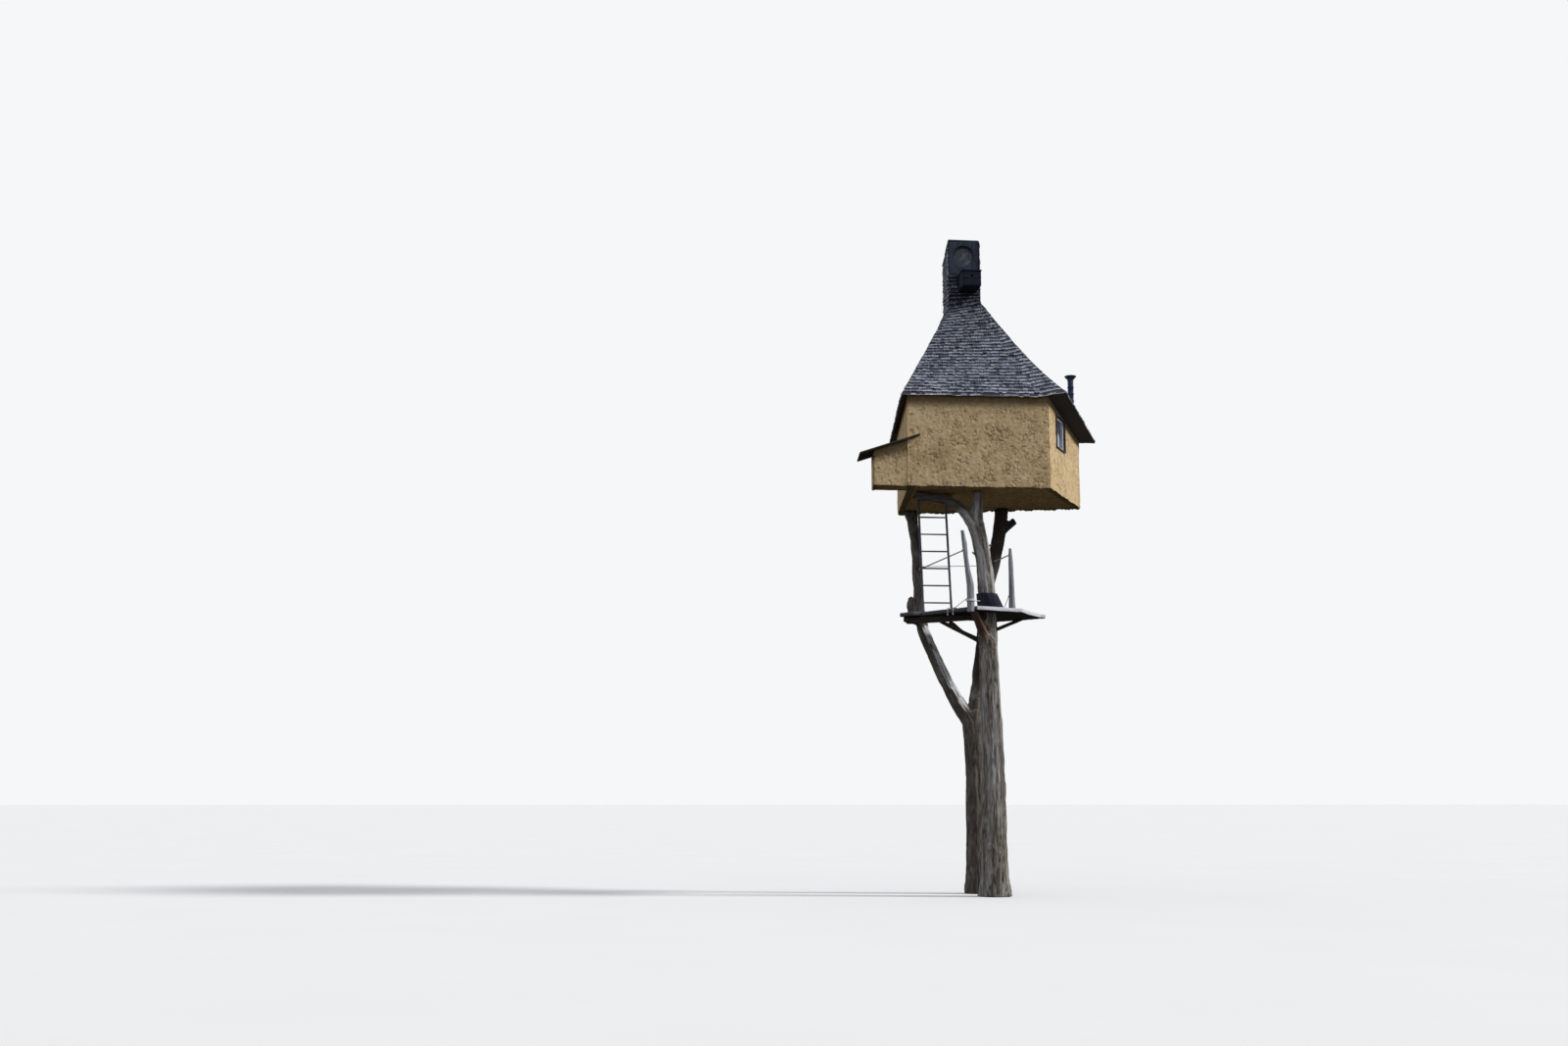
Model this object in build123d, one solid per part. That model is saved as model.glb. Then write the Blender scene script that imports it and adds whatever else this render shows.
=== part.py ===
from build123d import *
from math import ceil, cos, pi, sin
import os

# A tree house: a small plastered cabin under a shake roof, carried by two
# trunks, with a deck and a ladder below its floor hatch.
# Millimetres. X runs along the front wall, Y to the rear, Z up.
# The origin is the centre of the front trunk's foot, on the ground.

# Cabin plan at the outer face of the plaster
front_wall_y = -450
front_left_x = -1380
front_right_x = 910
rear_right_x = 1915
rear_right_y = 1470
rear_left_x = -1090
rear_left_y = 2440
wall_thickness = 120

# Cabin heights
floor_underside_z = 6370
floor_thickness = 120
wall_height_front_left = 1460
wall_height_front_right = 1475
wall_height_rear_right = 1135
wall_height_rear_left = 1460

# Hatch in the floor, from its left front corner
hatch_left_x = -1120
hatch_front_y = 190
hatch_width = 620
hatch_depth = 590

# Roof: eaves beyond the walls and above the wall tops at each corner
eave_out_front = 50
eave_out_left = 80
eave_out_right_front = 250
eave_out_right_rear = 205
eave_out_rear_right = 240
eave_out_rear_left = 390
eave_lift_front_left = -7
eave_lift_front_right = 73
eave_lift_rear_right = 28
eave_lift_rear_left = -101

# Roof: where the front eave starts to kick up, the sag of the hips, their flare at the eave
eave_kick_run = 150
eave_kick_drop = 12
roof_sag_left = 0.05
roof_sag_middle = 0.09
roof_sag_right = 0.12
roof_flare_right = 0.06
roof_levels = 9
roof_slab_drop = 190

# Turret on the ridge, a square light shaft with a round window
turret_left_x = -510
turret_front_y = 450
turret_width = 520
turret_depth = 430
turret_base_height = 3130
turret_base_rise_right = 120
turret_height = 1160
turret_fall = 250
turret_wall = 45
turret_lid_thickness = 40
porthole_diameter = 380
porthole_below_top = 250
porthole_lining = 10
porthole_recess = 60
porthole_back_ring = 20
porthole_pane_diameter = 304
glass_thickness = 6

# Bird box on the turret's front
nest_box_inset_right = 55
nest_box_width = 315
nest_box_height = 250
nest_box_depth = 420
nest_box_rise = 290
nest_box_wall = 18
nest_box_hole = 38
nest_box_hole_height = 165
nest_lid_overhang = 12
nest_lid_thickness = 20

# Window in the right wall, measured along the wall from its front corner
window_start = 460
window_width = 600
window_height = 545
window_below_wall_top = 25
casing_width = 26
casing_depth = 90
casing_proud = 18
sash_width = 42
sash_depth = 40
sash_set_back = 20

# Lean-to bay on the front left corner
leanto_left_x = -1935
leanto_rear_y = 50
leanto_wall = 80
leanto_floor_thickness = 60
leanto_roof_right_x = -1180
leanto_roof_left_x = -2150
leanto_roof_end_skew = 65
leanto_roof_right_height = 790
leanto_roof_fall = 320
leanto_roof_thickness = 40
leanto_roof_out_front = 50
leanto_roof_out_rear = 230

# Stove pipe on the rear slope
pipe_x = 1738
pipe_y = 1300
pipe_diameter = 100
pipe_wall = 5
pipe_top_height = 2180
cap_diameter = 200
cap_neck_diameter = 112
cap_cone_height = 56
cap_rim_height = 14

# Deck: slabs side by side from its front corner, turned from the front wall
deck_corner_x = -310
deck_corner_y = -480
deck_turn = 21
deck_top_z = 4470
deck_thickness = 70
deck_gap = 6
deck_slab_widths = [300, 288, 288, 274, 298]
deck_right_ends = [(836, 1178), (1187, 1606), (1700, 1600), (1597, 1480), (1472, 1340)]
deck_left_slant = 0.272
deck_rear_left_reach = 150
live_edge_swell = 14
trunk_clearance = 20

# Collar round the front trunk on the deck
collar_height = 250
collar_base_radius = 216
collar_top_radius = 170
collar_lean = 62

# Beam from the front trunk to a bearer, which runs on to the left rear stem.
# Their ends are given along and back from the deck's front corner.
beam_depth = 110
beam_width = 90
beam_front = (294, 246)
bearer_front = (-472, 1399)
bearer_depth = 80
bearer_width = 90
bearer_overhang = 65

# Ladder from the deck to the hatch
ladder_y = 810
ladder_left_foot_x = -935
ladder_right_foot_x = -470
ladder_left_head_x = -1000
ladder_right_head_x = -545
ladder_rail_width = 36
ladder_right_rail_short = 75
rung_diameter = 28
rung_spacing = 282
first_rung_height = 183

# Limbs, as centre points with a radius: x, y, z, radius. The tops are levels below the floor.
limb_sides = 14
limb_ring_spacing = 260
front_trunk_low = [(0, 0, 0, 262), (0, 0, 330, 215), (-3, 0, 1200, 190), (-8, 0, 2400, 168)]
front_trunk_middle = [(-43, 0, 3900, 150)]
front_trunk_high = [(-58, 0, -1570, 143), (-122, 0, -950, 120), (-203, 0, -540, 136)]
front_stub = [(-205, 0, -590, 118), (-185, 0, -320, 92), (-165, 0, 0, 84)]
front_branch = [(-225, 0, -570, 108), (-370, 10, -350, 92), (-600, 40, -180, 80), (-860, 75, -100, 76)]
front_branch_end = [(-1150, 100, -70, 74)]
rear_trunk_low = [(-80, 900, 0, 215), (-85, 900, 500, 186), (-95, 900, 1600, 176), (-115, 905, 2500, 180)]
rear_trunk_fork = [(-160, 915, 2900, 170)]
rear_left_low = [(-150, 912, 2700, 140), (-330, 950, 2990, 122), (-505, 1000, 3320, 112)]
rear_left_middle = [(-760, 1150, 3920, 106)]
rear_left_high = [(-900, 1310, -1970, 100), (-888, 1530, -1310, 86), (-880, 1830, -620, 84)]
rear_left_top = [(-888, 2000, -220, 92), (-910, 2090, 0, 122)]
rear_right_low = [(-110, 912, 2700, 135), (10, 1010, 3400, 122)]
rear_right_high = [(150, 1200, -1970, 114), (240, 1310, -1370, 110), (418, 1470, -810, 112)]
rear_right_top = [(562, 1650, -220, 112), (590, 1690, 0, 112)]
rear_stub = [(505, 1590, -470, 76), (655, 1610, -320, 64), (795, 1630, -205, 58)]
root_swell = 0.10
root_height = 380

# Limbs placed from the deck's top: x, y, height, radius. The knob is placed from its stem there.
corbel_head = (-352, -385, 62)
corbel_drop = 620
knob = [(-80, 30, 20, 84), (-146, 14, 150, 78), (-150, 10, 330, 54)]
strut_left_root = 570
strut_root_radius = 50
strut_end_radius = 31
strut_left_shares = [0.63, 0.49]
strut_fork_share = 0.46
strut_right_root = 380
strut_right_head = (735, 930)
strut_right_radius = 32
front_post_low = [(-406, -430, -95, 64), (-406, -430, 60, 60), (-418, -430, 430, 60), (-450, -430, 585, 46)]
front_post_high = [(-468, -430, 735, 38), (-484, -430, 890, 42), (-497, -430, 1040, 46)]
front_post_tip = [(-514, -430, 1140, 42), (-521, -430, 1200, 30)]
right_post = [(350, 0, 0, 60), (348, 0, 120, 52), (346, 0, 530, 45), (338, 0, 880, 37), (335, 0, 985, 26)]
post_sides = 8

# Taut hand ropes: heights of their ends above the deck
rope_radius = 11
thin_rope_radius = 6
rope_left_heights = (820, 890)
rope_right_heights = (950, 880)
rope_rear_height = 885
rope_tie_height = 165
rope_tie_foot = (-600, -60)
rope_brace_height = 330
rope_brace_foot = (235, 110)

# Derived levels and edges
floor_top_z = floor_underside_z + floor_thickness
deck_underside_z = deck_top_z - deck_thickness
turret_right_x = turret_left_x + turret_width
turret_rear_y = turret_front_y + turret_depth
turret_base_z = floor_underside_z + turret_base_height
turret_front_z = turret_base_z + turret_height
turret_slope = turret_fall / turret_depth
ladder_rise = floor_underside_z - deck_top_z
rung_count = int((ladder_rise - first_rung_height - rung_diameter / 2) / rung_spacing) + 1


def save(shape, node, colour):
    """Write one node's solids to its file."""
    shape.label = node
    shape.color = Color(colour)
    export_step(shape, f"parts/{node}.step")


def triangle(a, b, c):
    """A flat face through three points."""
    return Face(Wire.make_polygon([a, b, c], close=True))


def cap(outline):
    """Flat strips across an outline, from its first half to its second."""
    faces = []
    last = len(outline) - 1
    for i in range(len(outline) // 2 - 1):
        a, b = outline[i], outline[i + 1]
        c, d = outline[last - i - 1], outline[last - i]
        faces.append(triangle(a, b, c))
        faces.append(triangle(a, c, d))
    return faces


def span(outlines):
    """A closed solid through outlines with as many points each."""
    faces = cap(outlines[0]) + cap(outlines[-1])
    for first, second in zip(outlines, outlines[1:]):
        for i, point in enumerate(first):
            j = (i + 1) % len(first)
            faces.append(triangle(point, first[j], second[j]))
            faces.append(triangle(point, second[j], second[i]))
    solid = Solid(Shell(faces))
    return solid.fix() if solid.volume > 0 else Solid(solid.wrapped.Reversed()).fix()


def at(point, z):
    """A plan point raised to a level."""
    return Vector(point.X, point.Y, z)


def between(first, second, share):
    """The point at a share of the way from one point to another."""
    return first + (second - first) * share


def offset_corner(corners, i, out_before, out_after):
    """A plan corner moved outwards from the side before it and the side after it."""
    before = (corners[i] - corners[i - 1]).normalized()
    after = (corners[(i + 1) % len(corners)] - corners[i]).normalized()
    cross = before.X * after.Y - before.Y * after.X
    return corners[i] + (before * out_after - after * out_before) * (1 / cross)


def offset_corners(corners, out):
    """All corners of a plan moved outwards by the same distance."""
    return [offset_corner(corners, i, out, out) for i in range(len(corners))]


def raised(line, z):
    """Limb points measured from a level, at their own height."""
    return [(x, y, z + height, radius) for x, y, height, radius in line]


def limb_at(line, share):
    """Centre and radius of a limb at a share of its length, measured along its points."""
    points = [Vector(x, y, z) for x, y, z, radius in line]
    runs = [(second - first).length for first, second in zip(points, points[1:])]
    left = share * sum(runs)
    i = 0
    while i < len(runs) - 1 and left > runs[i]:
        left -= runs[i]
        i += 1
    part = min(left / runs[i], 1)
    return between(points[i], points[i + 1], part), line[i][3] + (line[i + 1][3] - line[i][3]) * part


def limb_centre(line, z):
    """Centre of a limb where it passes a level."""
    points = [Vector(x, y, level) for x, y, level, radius in line]
    for first, second in zip(points, points[1:]):
        if first.Z <= z <= second.Z:
            return between(first, second, (z - first.Z) / (second.Z - first.Z))
    return points[-1]


def limb(line, level_start=False, level_end=False, sides=limb_sides, lobe=0.04, roots=0):
    """A round timber through the points of a line, lobed as grown and swollen at its roots."""
    path = Spline(*[point[:3] for point in line])
    steps = max(2, ceil(path.length / limb_ring_spacing))
    rings = []
    for step in range(steps + 1):
        share = step / steps
        centre = path.position_at(share)
        along = path.tangent_at(share)
        if (step == 0 and level_start) or (step == steps and level_end):
            along = Vector(0, 0, 1)
        radius = limb_at(line, share)[1]
        across = Vector(0, 1, 0).cross(along).normalized()
        upright = along.cross(across).normalized()
        grain = share * path.length / 1000
        root = roots * max(0, 1 - share * path.length / root_height)
        ring = []
        for k in range(sides):
            turn = 2 * pi * k / sides
            lobes = sin(3 * turn + grain) + 0.6 * sin(5 * turn - 2 * grain)
            reach = radius * (1 + lobe * lobes + root * sin(5 * turn))
            ring.append(centre + across * (reach * cos(turn)) + upright * (reach * sin(turn)))
        rings.append(ring)
    return span(rings)


def bar(start, end, width, depth):
    """A straight squared timber between two points."""
    run = end - start
    plane = Plane(start, x_dir=Vector(0, 0, 1).cross(run), z_dir=run)
    return extrude(plane * Rectangle(width, depth), run.length)


def plan_prism(points, low, high):
    """A block with an outline in plan, between two levels."""
    outline = make_face(Polyline(*points, close=True))
    return Pos(0, 0, low) * extrude(outline, high - low)


# Corners of the cabin, front left first and round by the right
wall_outer = [
    Vector(front_left_x, front_wall_y),
    Vector(front_right_x, front_wall_y),
    Vector(rear_right_x, rear_right_y),
    Vector(rear_left_x, rear_left_y),
]
wall_inner = offset_corners(wall_outer, -wall_thickness)
wall_heights = [
    wall_height_front_left,
    wall_height_front_right,
    wall_height_rear_right,
    wall_height_rear_left,
]
turret_outer = [
    Vector(turret_left_x, turret_front_y),
    Vector(turret_right_x, turret_front_y),
    Vector(turret_right_x, turret_rear_y),
    Vector(turret_left_x, turret_rear_y),
]
turret_inner = offset_corners(turret_outer, -turret_wall)
eaves = [
    offset_corner(wall_outer, 0, eave_out_left, eave_out_front),
    offset_corner(wall_outer, 1, eave_out_front, eave_out_right_front),
    offset_corner(wall_outer, 2, eave_out_right_rear, eave_out_rear_right),
    offset_corner(wall_outer, 3, eave_out_rear_left, eave_out_left),
]
eave_lifts = [
    eave_lift_front_left,
    eave_lift_front_right,
    eave_lift_rear_right,
    eave_lift_rear_left,
]
roof_sags = [roof_sag_left, roof_sag_right, roof_sag_right, roof_sag_left]
roof_flares = [0, roof_flare_right, roof_flare_right, 0]


def curb_z(point):
    """Level of the curb under the turret, which rises to the right."""
    return turret_base_z + turret_base_rise_right * (point.X - turret_left_x) / turret_width


def hip_out(up, sag, flare):
    """How far out a hip lies at a share of its height, from 1 at the eave to 0."""
    return (1 - flare) * (1 - up) * (1 - sag * up) + flare * (1 - up) ** 8


def roof_section(eave, seat_outer, seat_inner, top_outer, top_inner, sag, flare):
    """Outline across the roof: wall seat, inner face, turret curb, then outer face to the eave."""

    def outer_point(up):
        return at(between(top_outer, eave, hip_out(up, sag, flare)), eave.Z + (top_outer.Z - eave.Z) * up)

    reach = (at(seat_inner, 0) - at(top_outer, 0)).length / (at(eave, 0) - at(top_outer, 0)).length
    seat_share = 0
    while hip_out(seat_share, sag, flare) > reach:
        seat_share += 0.005
    drop = Vector(0, 0, roof_slab_drop)
    inner_count = roof_levels - 4
    inner = []
    for level in range(inner_count):
        up = seat_share + (1 - seat_share) * level / inner_count
        inner.append(outer_point(up) - drop)
    outer = [outer_point((level / (roof_levels - 1)) ** 1.5) for level in range(roof_levels)]
    return [seat_outer, seat_inner] + inner + [top_inner - drop, top_inner] + outer[::-1]


def hip_section(i):
    """The joint between two slopes, from the wall corner to the turret corner."""
    wall_top = floor_underside_z + wall_heights[i]
    return roof_section(
        at(eaves[i], wall_top + eave_lifts[i]),
        at(wall_outer[i], wall_top),
        at(wall_inner[i], wall_top),
        at(turret_outer[i], curb_z(turret_outer[i])),
        at(turret_inner[i], curb_z(turret_inner[i])),
        roof_sags[i],
        roof_flares[i],
    )


def wall_section(i):
    """The mitre plane of one wall corner."""
    top = floor_underside_z + wall_heights[i]
    outer = wall_outer[i]
    inner = wall_inner[i]
    low = floor_underside_z
    return [at(outer, low), at(outer, top), at(inner, top), at(inner, low)]


# The front wall and slope have one more section, where the eave starts to rise to its corner
kick_share = 1 - eave_kick_run / (front_right_x - front_left_x)
kick_wall = []
for left_point, right_point in zip(wall_section(0), wall_section(1)):
    kick_wall.append(between(left_point, right_point, kick_share))
kick_eave = at(kick_wall[1] - Vector(0, eave_out_front), kick_wall[1].Z - eave_kick_drop)
kick_curb_outer = between(turret_outer[0], turret_outer[1], kick_share)
kick_curb_inner = between(turret_inner[0], turret_inner[1], kick_share)
kick_roof = roof_section(
    kick_eave,
    kick_wall[1],
    kick_wall[2],
    at(kick_curb_outer, curb_z(kick_curb_outer)),
    at(kick_curb_inner, curb_z(kick_curb_inner)),
    roof_sag_middle,
    0,
)

# Walls, mitred at the corners, and roof slopes, mitred at the hips
walls = {
    "front_wall": span([wall_section(0), kick_wall, wall_section(1)]),
    "right_wall": span([wall_section(1), wall_section(2)]),
    "rear_wall": span([wall_section(2), wall_section(3)]),
    "left_wall": span([wall_section(3), wall_section(0)]),
}
slopes = {
    "roof_front_slope": span([hip_section(0), kick_roof, hip_section(1)]),
    "roof_right_slope": span([hip_section(1), hip_section(2)]),
    "roof_rear_slope": span([hip_section(2), hip_section(3)]),
    "roof_left_slope": span([hip_section(3), hip_section(0)]),
}

# Window in the right wall: opening, casing and sash in one frame, and its pane
right_along = (wall_outer[2] - wall_outer[1]).normalized()
right_length = (wall_outer[2] - wall_outer[1]).length
window_end_share = (window_start + window_width) / right_length
right_wall_fall = wall_height_front_right - wall_height_rear_right
window_head = wall_height_front_right - right_wall_fall * window_end_share
window_middle = wall_outer[1] + right_along * (window_start + window_width / 2)
window_middle_z = floor_underside_z + window_head - window_below_wall_top - window_height / 2
window_plane = Plane(
    origin=at(window_middle, window_middle_z),
    x_dir=right_along,
    z_dir=Vector(right_along.Y, -right_along.X),
)
through_wall = 3 * wall_thickness
walls["right_wall"] = walls["right_wall"] - window_plane * Box(window_width, window_height, through_wall)
sash_opening_width = window_width - 2 * casing_width
sash_opening_height = window_height - 2 * casing_width
light_width = sash_opening_width - 2 * sash_width
light_height = sash_opening_height - 2 * sash_width
casing = Box(window_width, window_height, casing_depth)
casing -= Box(sash_opening_width, sash_opening_height, through_wall)
sash = Box(sash_opening_width, sash_opening_height, sash_depth)
sash -= Box(light_width, light_height, through_wall)
casing_place = Pos(0, 0, casing_proud - casing_depth / 2)
sash_place = Pos(0, 0, -sash_set_back - sash_depth / 2)
window_frame = window_plane * (casing_place * casing + sash_place * sash)
window_glass = window_plane * sash_place * Box(light_width, light_height, glass_thickness)

# Floor, with the hatch cut through
floor_outline = make_face(Polyline(*[(p.X, p.Y) for p in wall_inner], close=True))
hatch = Pos(hatch_left_x + hatch_width / 2, hatch_front_y + hatch_depth / 2, floor_underside_z) * Box(
    hatch_width, hatch_depth, 4 * floor_thickness
)
cabin_floor = Pos(0, 0, floor_underside_z) * extrude(floor_outline, floor_thickness) - hatch


def turret_top(point):
    """Level of the turret's sloping top over a plan point."""
    return turret_front_z - (point.Y - turret_front_y) * turret_slope


def turret_section(i):
    """The mitre plane of one turret corner, its top on the falling line."""
    outer = turret_outer[i % 4]
    inner = turret_inner[i % 4]
    return [
        at(outer, curb_z(outer)),
        at(outer, turret_top(outer)),
        at(inner, turret_top(inner)),
        at(inner, curb_z(inner)),
    ]


turret = {}
for i, name in enumerate(["turret_front", "turret_right", "turret_rear", "turret_left"]):
    turret[name] = span([turret_section(i), turret_section(i + 1)])
lid_low = [at(p, turret_top(p)) for p in turret_outer]
turret_lid = span([lid_low, [p + Vector(0, 0, turret_lid_thickness) for p in lid_low]])

# Round window: a turned lining through the front boards, its pane set back inside
turret_middle_x = turret_left_x + turret_width / 2
porthole_place = Pos(turret_middle_x, turret_front_y, turret_front_z - porthole_below_top) * Rot(90, 0, 0)
lining_radius = porthole_diameter / 2 + porthole_lining
lining_depth = porthole_recess + porthole_back_ring
turret["turret_front"] = turret["turret_front"] - porthole_place * Cylinder(lining_radius, 4 * turret_wall)
porthole_lining_tube = Pos(0, 0, -lining_depth / 2) * Cylinder(lining_radius, lining_depth)
porthole_lining_tube -= Pos(0, 0, -porthole_recess / 2) * Cylinder(porthole_diameter / 2, porthole_recess)
porthole_lining_tube -= Cylinder(porthole_pane_diameter / 2, 3 * lining_depth)
porthole_frame = porthole_place * porthole_lining_tube - turret_lid
porthole_glass = porthole_place * Pos(0, 0, -porthole_recess - porthole_back_ring / 2) * Cylinder(
    porthole_pane_diameter / 2, glass_thickness
)

# Bird box, open inside behind its round hole
nest_right_x = turret_right_x - nest_box_inset_right
nest_front_y = turret_front_y - nest_box_depth
nest_base_z = turret_base_z + nest_box_rise
nest_middle_x = nest_right_x - nest_box_width / 2
nest_centre = Pos(nest_middle_x, nest_front_y + nest_box_depth / 2, nest_base_z + nest_box_height / 2)
nest_room = Box(
    nest_box_width - 2 * nest_box_wall,
    nest_box_depth - 2 * nest_box_wall,
    nest_box_height - nest_box_wall,
)
nest_box = nest_centre * Box(nest_box_width, nest_box_depth, nest_box_height)
nest_box -= nest_centre * Pos(0, 0, nest_box_wall / 2) * nest_room
nest_hole_place = Pos(nest_middle_x, nest_front_y, nest_base_z + nest_box_hole_height)
nest_box -= nest_hole_place * Rot(90, 0, 0) * Cylinder(nest_box_hole / 2, 4 * nest_box_wall)
nest_lid = Pos(
    nest_middle_x,
    nest_front_y + nest_box_depth / 2 - nest_lid_overhang / 2,
    nest_base_z + nest_box_height + nest_lid_thickness / 2,
) * Box(nest_box_width + 2 * nest_lid_overhang, nest_box_depth + nest_lid_overhang, nest_lid_thickness)

# Lean-to bay: three walls against the cabin, a floor and a sloping board roof
leanto_roof_front_y = front_wall_y - leanto_roof_out_front
leanto_roof_rear_y = leanto_rear_y + leanto_roof_out_rear
leanto_roof_left_height = leanto_roof_right_height - leanto_roof_fall


def leanto_slice(right_rise, left_rise):
    """A block over the lean-to between its roof's underside and a higher line."""
    outline = Polyline(
        (leanto_roof_left_x, leanto_roof_left_height),
        (leanto_roof_right_x, leanto_roof_right_height),
        (leanto_roof_right_x, leanto_roof_right_height + right_rise),
        (leanto_roof_left_x, leanto_roof_left_height + left_rise),
        close=True,
    )
    length = leanto_roof_rear_y - leanto_roof_front_y
    block = extrude(make_face(Plane.XZ * outline), length, dir=(0, -1, 0))
    return Pos(0, leanto_roof_rear_y, floor_underside_z) * block


leanto_roof = leanto_slice(leanto_roof_thickness, leanto_roof_thickness)
leanto_roof -= plan_prism([(p.X, p.Y) for p in wall_outer], floor_underside_z, turret_base_z)
leanto_roof -= plan_prism(
    [
        (leanto_roof_left_x, leanto_roof_front_y),
        (leanto_roof_left_x + leanto_roof_end_skew, leanto_roof_rear_y),
        (leanto_roof_left_x, leanto_roof_rear_y),
    ],
    floor_underside_z,
    turret_base_z,
)
above_leanto = leanto_slice(leanto_roof_right_height, leanto_roof_right_height)


def left_wall_x(y):
    """Outer face of the cabin's left wall at a depth."""
    run = (y - front_wall_y) / (rear_left_y - front_wall_y)
    return front_left_x + (rear_left_x - front_left_x) * run


def leanto_x(y, inset):
    """The bay's end wall at a depth and an inset from its outer face, parallel to the left wall."""
    return left_wall_x(y) + leanto_left_x - front_left_x + inset


front_inner_y = front_wall_y + leanto_wall
rear_inner_y = leanto_rear_y - leanto_wall
leanto_plans = {
    "leanto_front_wall": [
        (leanto_left_x, front_wall_y),
        (left_wall_x(front_wall_y), front_wall_y),
        (left_wall_x(front_inner_y), front_inner_y),
        (leanto_x(front_inner_y, leanto_wall), front_inner_y),
    ],
    "leanto_end_wall": [
        (leanto_left_x, front_wall_y),
        (leanto_x(front_inner_y, leanto_wall), front_inner_y),
        (leanto_x(rear_inner_y, leanto_wall), rear_inner_y),
        (leanto_x(leanto_rear_y, 0), leanto_rear_y),
    ],
    "leanto_rear_wall": [
        (leanto_x(leanto_rear_y, 0), leanto_rear_y),
        (leanto_x(rear_inner_y, leanto_wall), rear_inner_y),
        (left_wall_x(rear_inner_y), rear_inner_y),
        (left_wall_x(leanto_rear_y), leanto_rear_y),
    ],
}
leanto = {}
for name, points in leanto_plans.items():
    block = plan_prism(points, floor_underside_z, floor_underside_z + leanto_roof_right_height)
    leanto[name] = block - above_leanto
leanto_floor = plan_prism(
    [
        (leanto_x(front_inner_y, leanto_wall), front_inner_y),
        (left_wall_x(front_inner_y), front_inner_y),
        (left_wall_x(rear_inner_y), rear_inner_y),
        (leanto_x(rear_inner_y, leanto_wall), rear_inner_y),
    ],
    floor_underside_z,
    floor_underside_z + leanto_floor_thickness,
)

# Stove pipe, cut to stand on the slopes it crosses, and its turned cap
pipe_top_z = floor_underside_z + pipe_top_height
pipe_foot_z = floor_underside_z + wall_height_rear_right
pipe_length = pipe_top_z - pipe_foot_z
pipe_place = Pos(pipe_x, pipe_y, pipe_foot_z + pipe_length / 2)
stove_pipe = pipe_place * Cylinder(pipe_diameter / 2, pipe_length)
stove_pipe -= pipe_place * Cylinder(pipe_diameter / 2 - pipe_wall, 2 * pipe_length)
for slope in slopes.values():
    stove_pipe -= slope
stove_pipe = max(stove_pipe.solids(), key=lambda solid: solid.bounding_box().max.Z)
cap_profile = Polyline(
    (0, 0),
    (cap_neck_diameter / 2, 0),
    (cap_diameter / 2, cap_cone_height),
    (cap_diameter / 2, cap_cone_height + cap_rim_height),
    (0, cap_cone_height + cap_rim_height),
    close=True,
)
pipe_cap = Pos(pipe_x, pipe_y, pipe_top_z) * revolve(make_face(Plane.XZ * cap_profile), Axis.Z)

# Deck slabs in their own turned plane, cut round the trunks
deck_plane = Plane(
    origin=(deck_corner_x, deck_corner_y, deck_underside_z),
    x_dir=(cos(deck_turn * pi / 180), sin(deck_turn * pi / 180), 0),
    z_dir=(0, 0, 1),
)


def deck_point(along, back, z):
    """A point of the deck's own plan at a level."""
    return at(deck_plane.from_local_coords(Vector(along, back, 0)), z)


def deck_left(back):
    """Left end of the slabs at a depth of the deck's own plan."""
    return -back * deck_left_slant


deck_slabs = []
back = 0
for number, (width, (front_end, rear_end)) in enumerate(zip(deck_slab_widths, deck_right_ends)):
    reach = deck_rear_left_reach if number == len(deck_slab_widths) - 1 else 0
    rear = back + width
    front_left = (deck_left(back) - reach, back)
    front_right = (front_end, back)
    swell = live_edge_swell if number == 0 else 0
    front_edge = Spline(
        front_left,
        (front_left[0] + front_end * 0.3, back - swell),
        (front_left[0] + front_end * 0.7, back + swell / 2),
        front_right,
    ) if swell else Line(front_left, front_right)
    rest = Polyline(front_right, (rear_end, rear), (deck_left(rear) - reach, rear), front_left)
    deck_slabs.append(extrude(deck_plane * make_face([front_edge, rest]), deck_thickness))
    back = rear + deck_gap

front_trunk_line = front_trunk_low + front_trunk_middle + raised(front_trunk_high, floor_underside_z)
rear_left_line = rear_left_low + rear_left_middle
rear_left_line += raised(rear_left_high + rear_left_top, floor_underside_z)
rear_right_line = rear_right_low + raised(rear_right_high + rear_right_top, floor_underside_z)
trunk_holes = []
for line in (front_trunk_line, rear_right_line):
    low = limb_centre(line, deck_underside_z - deck_thickness)
    high = limb_centre(line, deck_top_z + deck_thickness)
    radius = max(limb_at(line, share / 10)[1] for share in (6, 7, 8)) + trunk_clearance
    hole = [Plane(low, z_dir=high - low) * Circle(radius), Plane(high, z_dir=high - low) * Circle(radius)]
    trunk_holes.append(loft(hole, ruled=True))
for hole in trunk_holes:
    deck_slabs = [slab - hole for slab in deck_slabs]

# Rear trunk with its two stems, a cut branch and a knob at the deck
rear_trunk = limb(rear_trunk_low + rear_trunk_fork, level_start=True, roots=root_swell)
rear_trunk += limb(rear_left_line, level_end=True)
rear_trunk += limb(rear_right_line, level_end=True)
rear_trunk += limb(raised(rear_stub, floor_underside_z))
knob_root = limb_centre(rear_left_line, deck_top_z)
knob_line = [(knob_root.X + x, knob_root.Y + y, deck_top_z + up, radius) for x, y, up, radius in knob]
rear_trunk += limb(knob_line)

# Beam and bearer, one fixed frame under the deck's left side
bearer_start = deck_point(*bearer_front, deck_underside_z - bearer_depth / 2)
bearer_end = at(limb_centre(rear_left_line, bearer_start.Z), bearer_start.Z)
beam_start = deck_point(*beam_front, deck_underside_z - beam_depth / 2)
beam_joint = bearer_start + (bearer_end - bearer_start).normalized() * bearer_overhang
beam_end = at(beam_joint, beam_start.Z)
deck_beam = bar(bearer_start, bearer_end, bearer_width, bearer_depth) - rear_trunk
deck_beam += bar(beam_start, beam_end, beam_width, beam_depth)

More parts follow.
